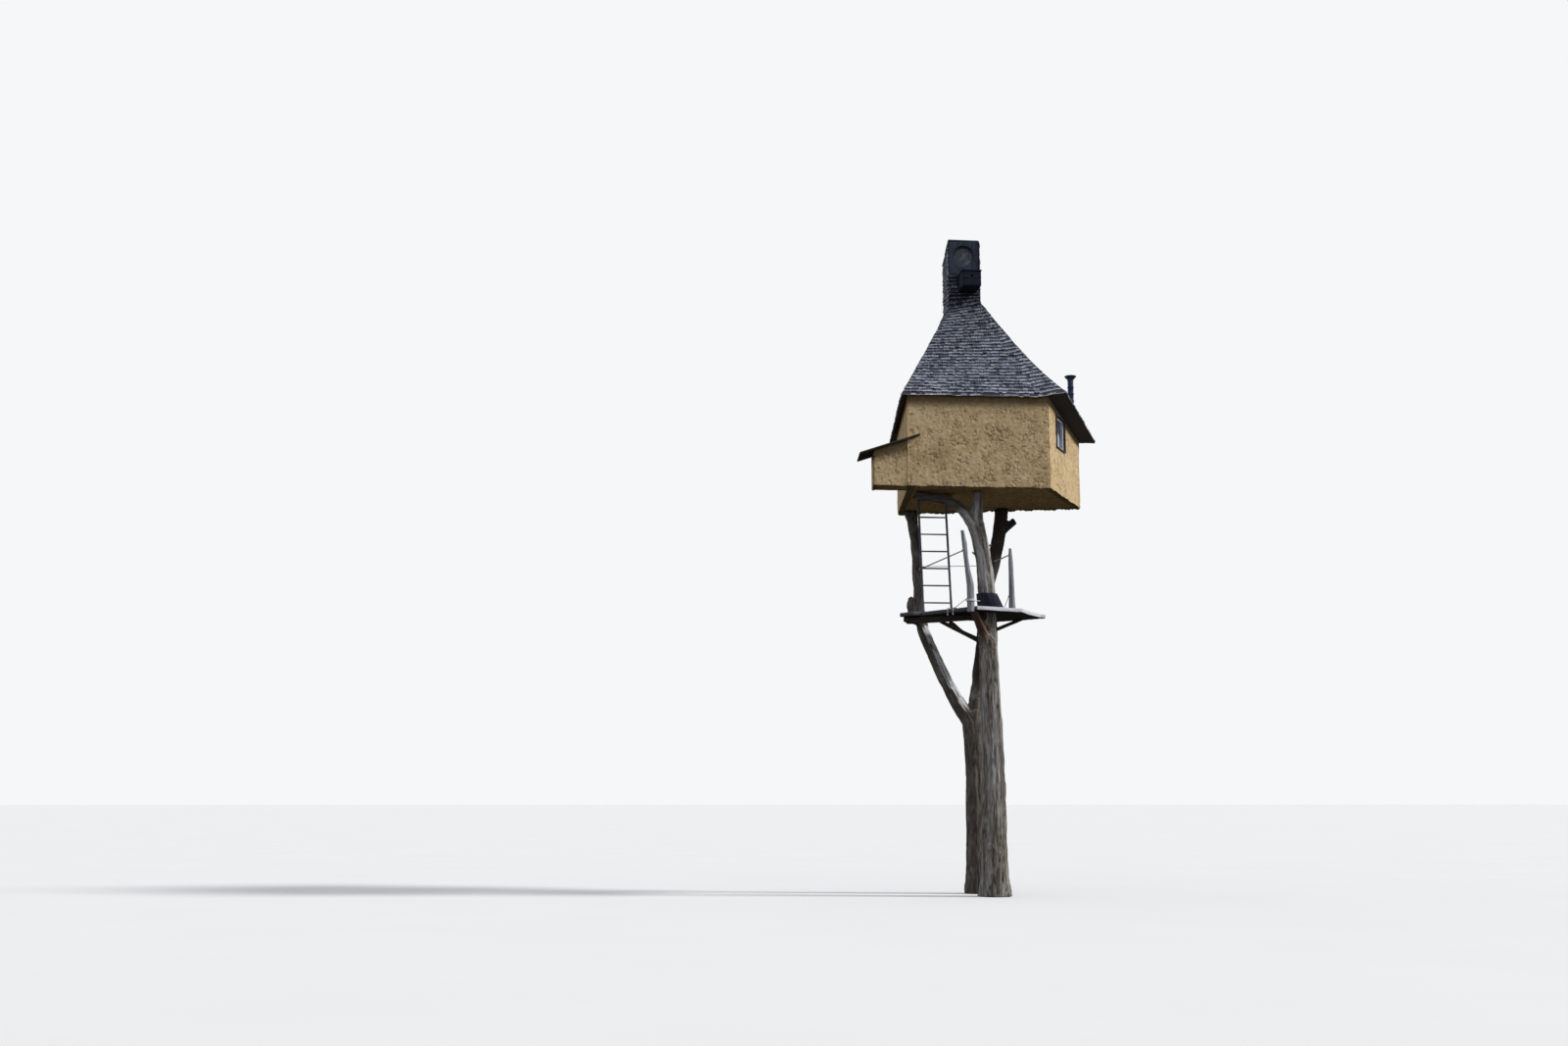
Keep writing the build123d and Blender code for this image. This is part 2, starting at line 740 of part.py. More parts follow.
# Front trunk, with its fork under the floor and the knee that carries the deck's corner
front_trunk = limb(front_trunk_line, level_start=True, roots=root_swell)
front_trunk += limb(raised(front_stub, floor_underside_z), level_end=True)
front_trunk += limb(raised(front_branch + front_branch_end, floor_underside_z))
corbel_root = limb_centre(front_trunk_line, deck_top_z - corbel_drop)
corbel_x, corbel_y, corbel_radius = corbel_head
front_trunk += limb(
    [(*corbel_root, corbel_radius * 1.3), (corbel_x, corbel_y, deck_underside_z + 20, corbel_radius)]
)
under_floor = plan_prism([(p.X, p.Y) for p in wall_outer], floor_underside_z, floor_top_z)
front_trunk -= under_floor
front_trunk -= deck_beam
for slab in deck_slabs:
    front_trunk -= slab

# Collar, leaning out to the right at its foot
collar_foot = limb_centre(front_trunk_line, deck_top_z)
collar_head = limb_centre(front_trunk_line, deck_top_z + collar_height)
trunk_collar = loft(
    [
        Plane(collar_foot + Vector(collar_lean, 0)) * Circle(collar_base_radius),
        Plane(collar_head) * Circle(collar_top_radius),
    ],
    ruled=True,
)
trunk_collar -= front_trunk

# Struts from the trunk: a forked one to the beam, a straight one to the right
strut_root = limb_centre(front_trunk_line, deck_top_z - strut_left_root)
strut_ends = [between(beam_start, beam_end, share) for share in strut_left_shares]
strut_fork = between(strut_root, strut_ends[0], strut_fork_share)
strut_left = limb([(*strut_root, strut_root_radius), (*strut_ends[0], strut_end_radius)], sides=post_sides)
strut_left += limb([(*strut_fork, strut_end_radius), (*strut_ends[1], strut_end_radius)], sides=post_sides)
strut_left = strut_left - front_trunk - deck_beam
strut_right_base = limb_centre(front_trunk_line, deck_top_z - strut_right_root)
strut_right = limb(
    [
        (*strut_right_base, strut_right_radius),
        (*strut_right_head, deck_underside_z + 20, strut_right_radius),
    ],
    sides=post_sides,
)
strut_right -= front_trunk
for slab in deck_slabs:
    strut_right -= slab

# Ladder
ladder_left_rail = bar(
    Vector(ladder_left_foot_x, ladder_y, deck_top_z),
    Vector(ladder_left_head_x, ladder_y, floor_underside_z),
    ladder_rail_width,
    ladder_rail_width,
)
ladder_right_rail = bar(
    Vector(ladder_right_foot_x, ladder_y, deck_top_z),
    Vector(ladder_right_head_x, ladder_y, floor_underside_z - ladder_right_rail_short),
    ladder_rail_width,
    ladder_rail_width,
)
for slab in deck_slabs:
    ladder_left_rail -= slab
    ladder_right_rail -= slab
ladder_left_rail -= under_floor
rungs = []
for i in range(rung_count):
    rung_z = deck_top_z + first_rung_height + i * rung_spacing
    up = (rung_z - deck_top_z) / ladder_rise
    left_x = ladder_left_foot_x + (ladder_left_head_x - ladder_left_foot_x) * up
    right_x = ladder_right_foot_x + (ladder_right_head_x - ladder_right_foot_x) * up
    rung = Pos((left_x + right_x) / 2, ladder_y, rung_z) * Rot(0, 90, 0) * Cylinder(
        rung_diameter / 2, right_x - left_x
    )
    rungs.append(rung - ladder_left_rail - ladder_right_rail)

# Rail posts, the front one standing over the deck's corner
rail_post_front_line = raised(front_post_low + front_post_high + front_post_tip, deck_top_z)
rail_post_right_line = raised(right_post, deck_top_z)
rail_post_front = limb(rail_post_front_line, sides=post_sides)
rail_post_right = limb(rail_post_right_line, level_start=True, sides=post_sides)
for slab in deck_slabs:
    rail_post_front -= slab
rail_post_front = rail_post_front - deck_beam - front_trunk


def rope(start, end, radius):
    """A straight rope, cut where it meets what it is tied to."""
    line = [(*start, radius), (*between(start, end, 0.5), radius), (*end, radius)]
    shape = limb(line, sides=6, lobe=0)
    for timber in (rear_trunk, front_trunk, rail_post_front, rail_post_right):
        shape -= timber
    for rail in (ladder_left_rail, ladder_right_rail):
        shape -= rail
    for slab in deck_slabs:
        shape -= slab
    return shape.solids()


# Taut hand ropes between the stems, the posts and the deck
rope_left = rope(
    limb_centre(rear_left_line, deck_top_z + rope_left_heights[0]),
    limb_centre(rail_post_front_line, deck_top_z + rope_left_heights[1]),
    rope_radius,
)
rope_left += rope(
    limb_centre(rear_left_line, deck_top_z + rope_rear_height),
    limb_centre(rear_right_line, deck_top_z + rope_rear_height),
    thin_rope_radius,
)
rope_left += rope(
    limb_centre(rail_post_front_line, deck_top_z + rope_tie_height),
    Vector(*rope_tie_foot, deck_top_z),
    thin_rope_radius,
)
rope_right = rope(
    limb_centre(rear_right_line, deck_top_z + rope_right_heights[0]),
    limb_centre(rail_post_right_line, deck_top_z + rope_right_heights[1]),
    rope_radius,
)
rope_right += rope(
    limb_centre(rail_post_right_line, deck_top_z + rope_brace_height),
    Vector(*rope_brace_foot, deck_top_z),
    thin_rope_radius,
)

NODES = {
    "front_trunk": (front_trunk, 0x5A5550),
    "rear_trunk": (rear_trunk, 0x4A4644),
    "deck_beam": (deck_beam, 0x2C2620),
    "strut_left": (strut_left, 0x3A332C),
    "strut_right": (strut_right, 0x2A2A33),
    "trunk_collar": (trunk_collar, 0x20222C),
    "ladder_left_rail": (ladder_left_rail, 0x4A4F58),
    "ladder_right_rail": (ladder_right_rail, 0x3A4050),
    "ladder_rungs": (Compound(rungs), 0x3A4050),
    "rail_post_front": (rail_post_front, 0x6E7179),
    "rail_post_right": (rail_post_right, 0x777C88),
    "rope_left": (Compound(rope_left), 0xC8C6BE),
    "rope_right": (Compound(rope_right), 0xC8C6BE),
    "cabin_floor": (cabin_floor, 0x6A5A3C),
    "window_frame": (window_frame, 0xD0D2D4),
    "window_glass": (window_glass, 0x9AA4B0),
    "leanto_floor": (leanto_floor, 0x6A5A3C),
    "leanto_roof": (leanto_roof, 0x494138),
    "turret_lid": (turret_lid, 0x3A4048),
    "porthole_frame": (porthole_frame, 0x333A4B),
    "porthole_glass": (porthole_glass, 0x353A48),
    "nest_box": (nest_box, 0x4A5058),
    "nest_box_lid": (nest_lid, 0x5A6068),
    "stove_pipe": (stove_pipe, 0x313A4C),
    "stove_pipe_cap": (pipe_cap, 0x313A4C),
}
for number, slab in enumerate(deck_slabs, start=1):
    NODES[f"deck_slab_{number}"] = (Compound(slab.solids()), 0x9A9CA0)
for group, colour in ((walls, 0x8E8065), (leanto, 0x8E8065), (slopes, 0x525767), (turret, 0x4A5060)):
    for name, shape in group.items():
        NODES[name] = (shape, colour)

os.makedirs("parts", exist_ok=True)
for name, (shape, colour) in NODES.items():
    save(shape, name, colour)
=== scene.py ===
import math
import random

import bmesh
import bpy
from bpy.props import FloatProperty, FloatVectorProperty, IntProperty, PointerProperty
from mathutils import Matrix, Quaternion, Vector, noise
from mathutils.bvhtree import BVHTree


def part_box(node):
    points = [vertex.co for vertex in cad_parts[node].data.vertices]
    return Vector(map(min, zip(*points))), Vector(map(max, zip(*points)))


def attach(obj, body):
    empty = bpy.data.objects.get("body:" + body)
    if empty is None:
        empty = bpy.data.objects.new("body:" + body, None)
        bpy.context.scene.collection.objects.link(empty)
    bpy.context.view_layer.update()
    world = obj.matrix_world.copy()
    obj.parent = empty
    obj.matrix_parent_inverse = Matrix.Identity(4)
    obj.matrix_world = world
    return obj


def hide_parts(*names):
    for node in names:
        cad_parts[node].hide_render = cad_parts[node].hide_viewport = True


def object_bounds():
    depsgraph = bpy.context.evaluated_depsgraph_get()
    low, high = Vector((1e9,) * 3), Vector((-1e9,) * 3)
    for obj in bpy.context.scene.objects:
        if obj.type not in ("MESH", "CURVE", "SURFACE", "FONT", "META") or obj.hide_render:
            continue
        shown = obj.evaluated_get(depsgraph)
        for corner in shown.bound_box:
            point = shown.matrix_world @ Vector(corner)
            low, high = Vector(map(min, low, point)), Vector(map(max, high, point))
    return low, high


bl_info = {
    "name": "Tree House Finish",
    "version": (1, 0, 0),
    "blender": (4, 5, 0),
    "location": "3D View > Sidebar > Tree House",
    "description": "Shakes, earth plaster, bark, timber, ropes and joinery for the tree house",
    "category": "Object",
}

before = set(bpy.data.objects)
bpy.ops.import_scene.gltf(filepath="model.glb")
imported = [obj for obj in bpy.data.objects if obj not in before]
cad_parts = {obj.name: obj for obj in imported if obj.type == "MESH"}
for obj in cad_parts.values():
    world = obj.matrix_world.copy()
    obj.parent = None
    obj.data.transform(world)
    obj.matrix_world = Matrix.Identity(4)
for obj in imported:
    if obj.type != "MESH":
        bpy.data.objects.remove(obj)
cad_low, cad_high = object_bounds()

UP = Vector((0, 0, 1))
RIGHT = Vector((1, 0, 0))
# A point this near a plane or an edge of the construction lies in it, in metres
TOUCH = 0.002
# Level, in metres, from which rays look down on the roof
RAY_FROM = 20

# Centre lines of the grown limbs, in metres, that the bark's grain follows
FRONT_TRUNK_LINES = [
    [
        (0, 0, 0), (-0.003, 0, 1.2), (-0.008, 0, 2.4), (-0.043, 0, 3.9), (-0.058, 0, 4.8),
        (-0.122, 0, 5.42), (-0.203, 0, 5.83), (-0.185, 0, 6.05), (-0.165, 0, 6.37),
    ],
    [
        (-0.13, 0, 5.4), (-0.19, 0, 5.66), (-0.25, 0, 5.84), (-0.37, 0.01, 6.02),
        (-0.6, 0.04, 6.19), (-0.86, 0.075, 6.27), (-1.15, 0.1, 6.3),
    ],
    [(-0.036, 0, 3.6), (-0.05, -0.02, 3.8), (-0.09, -0.07, 3.95), (-0.352, -0.385, 4.42)],
]
REAR_TRUNK_LINES = [
    [
        (-0.08, 0.9, 0), (-0.095, 0.9, 1.6), (-0.115, 0.905, 2.5), (-0.16, 0.915, 2.72), (-0.33, 0.95, 2.99),
        (-0.505, 1, 3.32), (-0.76, 1.15, 3.92), (-0.9, 1.31, 4.4), (-0.888, 1.53, 5.06), (-0.88, 1.83, 5.75),
        (-0.888, 2, 6.15), (-0.91, 2.09, 6.37),
    ],
    [
        (-0.1, 0.905, 2.1), (-0.1, 0.915, 2.7), (0.01, 1.01, 3.4), (0.15, 1.2, 4.4), (0.24, 1.31, 5),
        (0.418, 1.47, 5.56), (0.562, 1.65, 6.15), (0.59, 1.69, 6.37),
    ],
    [(0.505, 1.59, 5.9), (0.655, 1.61, 6.05), (0.795, 1.63, 6.165)],
]

# Twig stubs on the front trunk (root, direction) and its knot scar
TWIG_STUBS = [((-0.2, 0.0, 5.32), (-0.8, -0.1, 0.6)), ((-0.05, 0.0, 5.46), (0.85, -0.1, 0.5))]
KNOT_SCAR = Vector((-0.13, -0.21, 0.76))
# Heights of the marks on the trunks, in metres
BARE_FROM = 4.7
MOSS_FROM, MOSS_TO = 4.55, 5.3
KNEE_FROM, KNEE_TO = 3.75, 4.6
FLOOR_SHADE_FROM = 5.95
SPLIT_FROM, SPLIT_TO = 2.9, 4.32
STEM_MARKS = ("bare", "moss", "heart", "furrow")

# Lashings over the deck's left edge, their way out, length and size, and the ring on the front post
LASHED_EDGES = ((-0.605, -0.077, 4.478), (-0.674, 0.018, 4.478))
LASHING_OUT = Vector((-0.807, -0.591, 0))
LASHING_DROP, LASHING_RADIUS, LASHING_PITCH = 0.115, 0.007, 0.05
POST_RING = Vector((-0.407, -0.43, 4.56))
POST_TIE = Vector((-0.35, -0.4, 4.56)), Vector((-0.16, -0.07, 4.59))


def linear(code):
    """A hex sRGB colour as the linear colour that the shaders take."""
    parts = [int(code[i : i + 2], 16) / 255 for i in (1, 3, 5)]
    return [p / 12.92 if p <= 0.04045 else ((p + 0.055) / 1.055) ** 2.4 for p in parts] + [1.0]


def colour_property(name, description, code):
    """A colour that the panel's user can change, with its default as a hex code."""
    return FloatVectorProperty(
        name=name, description=description, default=linear(code), size=4, min=0, max=1, subtype="COLOR"
    )


def length_property(name, description, metres):
    """A length that the panel's user can change."""
    return FloatProperty(name=name, description=description, default=metres, unit="LENGTH")


def angle_property(name, description, degrees):
    """An angle that the panel's user can change."""
    return FloatProperty(name=name, description=description, default=math.radians(degrees), subtype="ANGLE")


class StageSettings(bpy.types.PropertyGroup):
    """Camera and light of the studio."""

    eye_height: length_property("Eye height", "Camera above the floor", 1.5)
    eye_x: length_property("Camera to the left", "Camera across from the front trunk", -5.94)
    eye_y: length_property("Camera in front", "Camera ahead of the front trunk", -27.46)
    turn: angle_property("Turn", "Camera turned right from the rear", 5.5)
    pitch: angle_property("Pitch", "Camera tilted up", 8.873)
    lens: FloatProperty(name="Lens", description="Focal length in millimetres", default=40.5)
    sun_power: FloatProperty(name="Key light", description="Strength of the soft key light", default=2.6)
    sun_width: angle_property("Key light's width", "Softness of the key light's shadows", 9)
    sky_power: FloatProperty(name="Sky light", description="Strength of the even light", default=0.62)
    floor_colour: colour_property("Floor", "Pale studio floor", "#e9e9e6")
    turf_colour: colour_property("Floor's bounce", "Colour of the light from below", "#54524a")
    sky_colour: colour_property("Background", "Pale background behind the house", "#f6f7f8")


class PlasterSettings(bpy.types.PropertyGroup):
    """Earth plaster on the cabin and the bay."""

    cell: length_property("Relief step", "Spacing of the relief", 0.0105)
    relief: length_property("Relief", "Depth of the thrown lumps", 0.012)
    arris: length_property("Arris", "Rounding of the wall's corners", 0.024)
    hang: length_property("Ragged foot", "Coat below the floor", 0.02)
    seed: IntProperty(name="Seed", description="Start of the bent lumps", default=7)
    ochre: colour_property("Ochre", "Body of the plaster", "#c4a77b")
    pale: colour_property("Pale", "Dried high spots", "#e0caa3")
    # Stain colours the damp patches, and is the body of the plaster in painted shade under the floors
    stain: colour_property("Stain", "Damp and dirt", "#8a6c43")
    # Colour of the painted shadow at torn flake edges and of all painted shade on the plaster
    painted_shadow: colour_property("Crack", "Torn flakes and cracks", "#3a2b17")
    straw: colour_property("Straw", "Chopped straw in the coat", "#e0cda0")


class ShakeSettings(bpy.types.PropertyGroup):
    """Cleft shakes on the roof and the turret."""

    exposure: length_property("Exposure", "Shown length of a course", 0.066)
    narrow: length_property("Narrowest", "Narrowest shake", 0.045)
    wide: length_property("Widest", "Widest shake", 0.105)
    thick: length_property("Butt", "Thickness at the butt", 0.012)
    jitter: length_property("Uneven", "How far butts miss the line", 0.014)
    overrun: length_property("Overrun", "Shakes past the hips", 0.012)
    eave_drop: length_property("Eave drop", "Butts past the eave", 0.012)
    seed: IntProperty(name="Seed", description="Start of the random widths", default=7)
    grey: colour_property("Grey", "Weathered face of a shake", "#747a8c")
    # Dark is each shake's ground and the colour of the painted shadow under the next course; pale is the raised
    # fibres and the silvered butts with their painted highlight
    dark: colour_property("Dark", "Damp or shaded shake", "#161c2a")
    pale: colour_property("Pale", "Silvered edge", "#e9ecf4")


class BarkSettings(bpy.types.PropertyGroup):
    """Bark of the two trunks."""

    cell: length_property("Relief step", "Spacing of the relief", 0.013)
    furrow: length_property("Furrow", "Depth of the furrows", 0.016)
    grey: colour_property("Grey", "Weathered bark", "#8f887d")
    # Furrow colour is the bark's dark ground and the colour of its painted shade
    furrow_colour: colour_property("Furrow colour", "Shaded furrows", "#352f2d")
    lichen: colour_property("Lichen", "Pale lichen and bare patches", "#b4b2a8")
    moss: colour_property("Moss", "Moss on the damp side", "#75704d")
    silver: colour_property("Silver", "Split wood without bark", "#e6e7ea")
    heart: colour_property("Heartwood", "Red brown wood of the torn knee", "#6a4c3b")


class TimberSettings(bpy.types.PropertyGroup):
    """Deck, beams, posts, ladder and boards."""

    fine_cell: length_property("Fine step", "Relief on the ladder", 0.006)
    post_cell: length_property("Post step", "Relief on the rail posts", 0.007)
    box_cell: length_property("Box step", "Relief on the bird box", 0.0072)
    board_cell: length_property("Board step", "Relief on the turret's boards", 0.008)
    beam_cell: length_property("Beam step", "Relief on the beam and struts", 0.009)
    slab_cell: length_property("Slab step", "Relief on the slabs and the collar", 0.01)
    roof_cell: length_property("Bay roof step", "Relief on the bay's roof", 0.011)
    lid_thickness: length_property("Turret lid", "Upright thickness", 0.04)
    silver: colour_property("Silver", "Slabs and posts greyed by weather", "#9a9ca3")
    silver_dark: colour_property("Silver shade", "Grain and checks of the slabs", "#53545b")
    # Pale arris colour: rubbed wood on the rail posts, a painted highlight on the slabs' front and right edges
    worn_and_lit_edge: colour_property("Worn edge", "Pale arris of the slabs", "#dddee2")
    collar: colour_property("Collar", "Tarred boards of the collar", "#343848")
    collar_shade: colour_property("Collar shade", "Grain of the collar", "#13151b")
    dark: colour_property("Dark", "Beam and struts under the deck", "#4a423a")
    dark_shade: colour_property("Dark shade", "Grain of the beam", "#211c19")
    ladder: colour_property("Ladder", "Blue grey ladder timber", "#767c88")
    ladder_shade: colour_property("Ladder shade", "Grain of the ladder", "#3d424e")
    board: colour_property("Board", "Dark stained turret boards", "#434b5b")
    board_shade: colour_property("Board shade", "Grain of the boards", "#252a36")
    box: colour_property("Bird box", "Greyed boards of the bird box", "#282f43")
    box_shade: colour_property("Bird box shade", "Grain of the bird box", "#12151d")


class FittingSettings(bpy.types.PropertyGroup):
    """Ropes, joinery, glass and stove pipe."""

    rope_pitch: length_property("Lay", "One turn of a strand", 0.075)
    casing_width: length_property("Casing", "Casing's face", 0.026)
    casing_proud: length_property("Casing proud", "Casing before the wall", 0.018)
    sash_width: length_property("Sash", "Sash bars' face", 0.042)
    sash_depth: length_property("Sash depth", "Sash bars' depth", 0.04)
    sash_set_back: length_property("Sash set back", "Sash behind the wall", 0.02)
    # The rope's grey is partly weathering and partly painted shade
    rope: colour_property("Rope", "White laid rope, greyed", "#a3a099")
    paint: colour_property("Paint", "White painted sash", "#e3e5e6")
    casing: colour_property("Casing", "Dark oiled casing", "#3b3430")
    # The pane colour is painted sky reflection, on the window's glass and on the porthole's
    pane: colour_property("Pane", "Grey blue pane", "#6f7c90")
    bead_spacing: length_property("Joints", "Between pipe joints", 0.12)
    steel: colour_property("Steel", "Stove paint", "#2e3954")
    steel_worn: colour_property("Worn steel", "Dust and heat on the paint", "#414c66")


# Small tools


def clamp(value, low=0, high=1):
    """A value kept between two limits."""
    return min(max(value, low), high)


def fade(distance, width, most=1):
    """Rises from 0 to its most over a width."""
    return clamp(distance / width, 0, most)


def drawn_out(place, across, along, shift=(0, 0, 0)):
    """Noise drawn out along the grain."""
    scaled = (place.x * across, place.y * across, place.z * along)
    return noise.noise(Vector([c + s for c, s in zip(scaled, shift)]))


def furrow_noise(place):
    """Noise whose zero lines are the bark's furrows."""
    swirl = drawn_out(place, 5, 1.3) * 0.7
    return drawn_out(place, 27, 2.1, (swirl, swirl, 0))


def add_node(tree, kind, values=None, links=None):
    """Adds a node, sets its properties and inputs, and links inputs to outputs or to nodes' main outputs."""
    node = tree.nodes.new("ShaderNode" + kind)
    for name, value in (values or {}).items():
        if name in node.bl_rna.properties:
            setattr(node, name, value)
        else:
            node.inputs[int(name) if name.isdigit() else name].default_value = value
    for name, source in (links or {}).items():
        if isinstance(source, bpy.types.Node):
            source = source.outputs[2 if source.bl_idname == "ShaderNodeMix" else 0]
        tree.links.new(source, node.inputs[int(name) if name.isdigit() else name])
    return node


def new_material(name, sockets):
    """A material whose shader has its constant values on its own sockets."""
    material = bpy.data.materials.new(name)
    material.use_nodes = True
    tree = material.node_tree
    shader = tree.nodes["Principled BSDF"]
    for socket, value in sockets.items():
        shader.inputs[socket].default_value = value
    return material, tree, shader


def patches(tree, place, spots, low, high, most=1.0):
    """Noise over a place, and the share of each point in its patches between two levels of the noise."""
    pattern = add_node(tree, "TexNoise", spots, {"Vector": place})
    levels = {"From Min": low, "From Max": high, "To Max": most}
    return pattern, add_node(tree, "MapRange", levels, {"Value": pattern})


def finish_surface(tree, shader, ground, coats, relief=None):
    """Lays coats (colour, share) over a ground, and raises a relief (height, strength, distance)."""
    for colour, share in coats:
        values, links = {"data_type": "RGBA"}, {"0": share}
        for socket, source in (("6", ground), ("7", colour)):
            (links if isinstance(source, bpy.types.Node) else values)[socket] = source
        ground = add_node(tree, "Mix", values, links)
    tree.links.new(ground.outputs[2], shader.inputs["Base Color"])
    if relief:
        height, strength, distance = relief
        bump = add_node(tree, "Bump", {"Strength": strength, "Distance": distance}, {"Height": height})
        tree.links.new(bump.outputs["Normal"], shader.inputs["Normal"])


def linked(verts, kind):
    """The edges or faces that touch some vertices, in the same order in every run."""
    return list(dict.fromkeys(item for vert in verts for item in getattr(vert, "link_" + kind)))


def link_object(name, data):
    """Puts an object with its data into the scene."""
    thing = bpy.data.objects.new(name, data)
    bpy.context.scene.collection.objects.link(thing)
    return thing


def mesh_object(name, bm):
    """Puts a bmesh into the scene as an object."""
    mesh = bpy.data.meshes.new(name)
    bm.to_mesh(mesh)
    bm.free()
    return link_object(name, mesh)


def cad_copy(node):
    """A copy of a CAD node's mesh with its loose triangles merged."""
    bm = bmesh.new()
    bm.from_mesh(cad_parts[node].data)
    bmesh.ops.remove_doubles(bm, verts=bm.verts, dist=0.0002)
    return bm


def add_piece(bm, name, material, replaced=(), smooth=True):
    """Makes a bmesh a piece of the house, inside the box of the construction."""
    for vert in bm.verts:
        vert.co = Vector(clamp(c, low, high) for c, low, high in zip(vert.co, cad_low, cad_high))
    for face in bm.faces:
        face.smooth = smooth
    for edge in bm.edges:
        edge.smooth = not (edge.is_manifold and edge.calc_face_angle() > 1)
    piece = mesh_object(name, bm)
    piece.data.materials.append(material_named(material))
    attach(piece, "root")
    if replaced:
        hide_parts(*replaced)


def finish_node(node, material):
    """Gives a CAD node that stays its material."""
    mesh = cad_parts[node].data
    mesh.materials.clear()
    mesh.materials.append(material_named(material))


def modified(blanks, kind, **values):
    """The first blank's form after one modifier, as a bmesh. The blanks are removed."""
    modifier = blanks[0].modifiers.new("form", kind)
    for name, value in values.items():
        setattr(modifier, name, value)
    evaluated = blanks[0].evaluated_get(bpy.context.evaluated_depsgraph_get())
    formed = bmesh.new()
    formed.from_mesh(evaluated.to_mesh())
    evaluated.to_mesh_clear()
    for mesh in [blank.data for blank in blanks]:
        bpy.data.meshes.remove(mesh)
    return formed


def even_skin(node, cell):
    """The closed skin of a CAD node as even quads of one size."""
    return modified([mesh_object("blank", cad_copy(node))], "REMESH", mode="VOXEL", voxel_size=cell)


def cut_hole(bm, tool):
    """Takes the tool's form out of a closed form."""
    wall, hole = mesh_object("wall", bm), mesh_object("hole", tool)
    return modified([wall, hole], "BOOLEAN", operation="DIFFERENCE", solver="EXACT", object=hole)


def straight_grain(axis):
    """Grain coordinates of a straight timber: across, across, along."""
    across = axis.orthogonal().normalized()
    other = axis.cross(across)
    return lambda point: [(Vector((point.dot(across), point.dot(other), point.dot(axis))), 1)]


def limb_grain(lines):
    """Grain coordinates of the one or two nearest limbs, each straightened along its line, with their shares."""
    segments = []
    for limb, line in enumerate(lines):
        run = line[0][2]
        for first, second in zip(line, line[1:]):
            start = Vector(first)
            step = Vector(second) - start
            segments.append((start, step.normalized(), step.length, run, limb))
            run += step.length

    def coordinates(point):
        nearest = {}
        for start, along, length, run, limb in segments:
            share = clamp((point - start).dot(along), 0, length)
            away = point - start - along * share
            if limb not in nearest or away.length < nearest[limb][0].length:
                nearest[limb] = (away, along, run + share)
        entries = []
        for away, along, run in sorted(nearest.values(), key=lambda entry: entry[0].length)[:2]:
            across = Vector((0, 1, 0)).cross(along).normalized()
            entries.append((Vector((away.dot(across), away.dot(along.cross(across)), run)), away.length))
        (first, near), (second, far) = entries
        # Two limbs share the grain where their lines are within 70 mm of equally near
        share = 0.5 + 0.5 * min((far - near) / 0.07, 1)
        return [(first, share), (second, 1 - share)] if share < 1 else [(first, 1)]

    return coordinates


def weather(bm, grain, relief, smoothing, worn=None):
    """Smooths a skin, moves it by a relief along its normals, and stores its grain and wear, which on the slabs is
    painted light and shade.
    """
    for _ in range(smoothing):
        bmesh.ops.smooth_vert(
            bm, verts=bm.verts, factor=0.5, use_axis_x=True, use_axis_y=True, use_axis_z=True
        )
    bm.normal_update()
    layer = bm.verts.layers.float_vector.new("grain")
    wear = bm.verts.layers.float.new("worn")
    moves = []
    for vert in bm.verts:
        places = grain(vert.co)
        vert[layer] = places[0][0]
        vert[wear] = worn(vert.co, vert.normal) if worn else 0
        moves.append(vert.normal * sum(relief(place, vert.co) * share for place, share in places))
    for vert, move in zip(bm.verts, moves):
        vert.co += move


def bark_relief(depth):
    """Long furrows, plates, small roughness and one knot scar of bark."""

    def height(place, point):
        small = drawn_out(place, 60, 8)
        plate = drawn_out(place, 8, 1.2, (9, 0, 0))
        away = (point - KNOT_SCAR).length
        knot = 1.2 * math.exp(-(((away - 0.055) / 0.018) ** 2)) - 1.2 * math.exp(-((away / 0.03) ** 2))
        return depth * (abs(furrow_noise(place)) * 1.7 - 0.75 + small * 0.25 + (0.3 if plate > 0.05 else 0) + knot)

    return height


def timber_relief(depth):
    """Raised grain and shallow checks of old sawn or cleft timber."""
    return lambda place, _: depth * (drawn_out(place, 28, 2.5) * 0.6 + noise.noise(place * 3.1) * 0.6 - 0.3)


def outer_normal(node):
    """The flat direction in which a wall's or a slope's largest side faces, away from the cabin."""
    totals = []
    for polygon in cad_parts[node].data.polygons:
        for entry in totals:
            if entry[0].dot(polygon.normal) > 0.999:
                entry[1] += polygon.area
                break
        else:
            totals.append([polygon.normal.copy(), polygon.area])
    upright = max((e for e in totals if abs(e[0].z) < 0.02), key=lambda e: e[1])[0]
    low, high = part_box(node)
    centre_low, centre_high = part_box("cabin_floor")
    away = (low + high) / 2 - (centre_low + centre_high) / 2
    away.z = 0
    return upright if upright.dot(away) > 0 else -upright


def side_corners(node, normal):
    """Corners of the side that faces a direction: low left, low right, high right, high left."""
    points = [v.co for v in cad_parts[node].data.vertices]
    reach = max(p.dot(normal) for p in points)
    side = [p for p in points if p.dot(normal) > reach - TOUCH]
    along = UP.cross(normal)
    left = min(p.dot(along) for p in side)
    right = max(p.dot(along) for p in side)
    left_side = [p for p in side if p.dot(along) < left + TOUCH]
    right_side = [p for p in side if p.dot(along) > right - TOUCH]
    picks = ((min, left_side), (min, right_side), (max, right_side), (max, left_side))
    return [pick(points, key=lambda p: p.z).copy() for pick, points in picks]


def blend_corners(corners, s, t):
    """The point at shares s along and t up between four corners."""
    low = corners[0].lerp(corners[1], s)
    return low.lerp(corners[3].lerp(corners[2], s), t)


# Materials


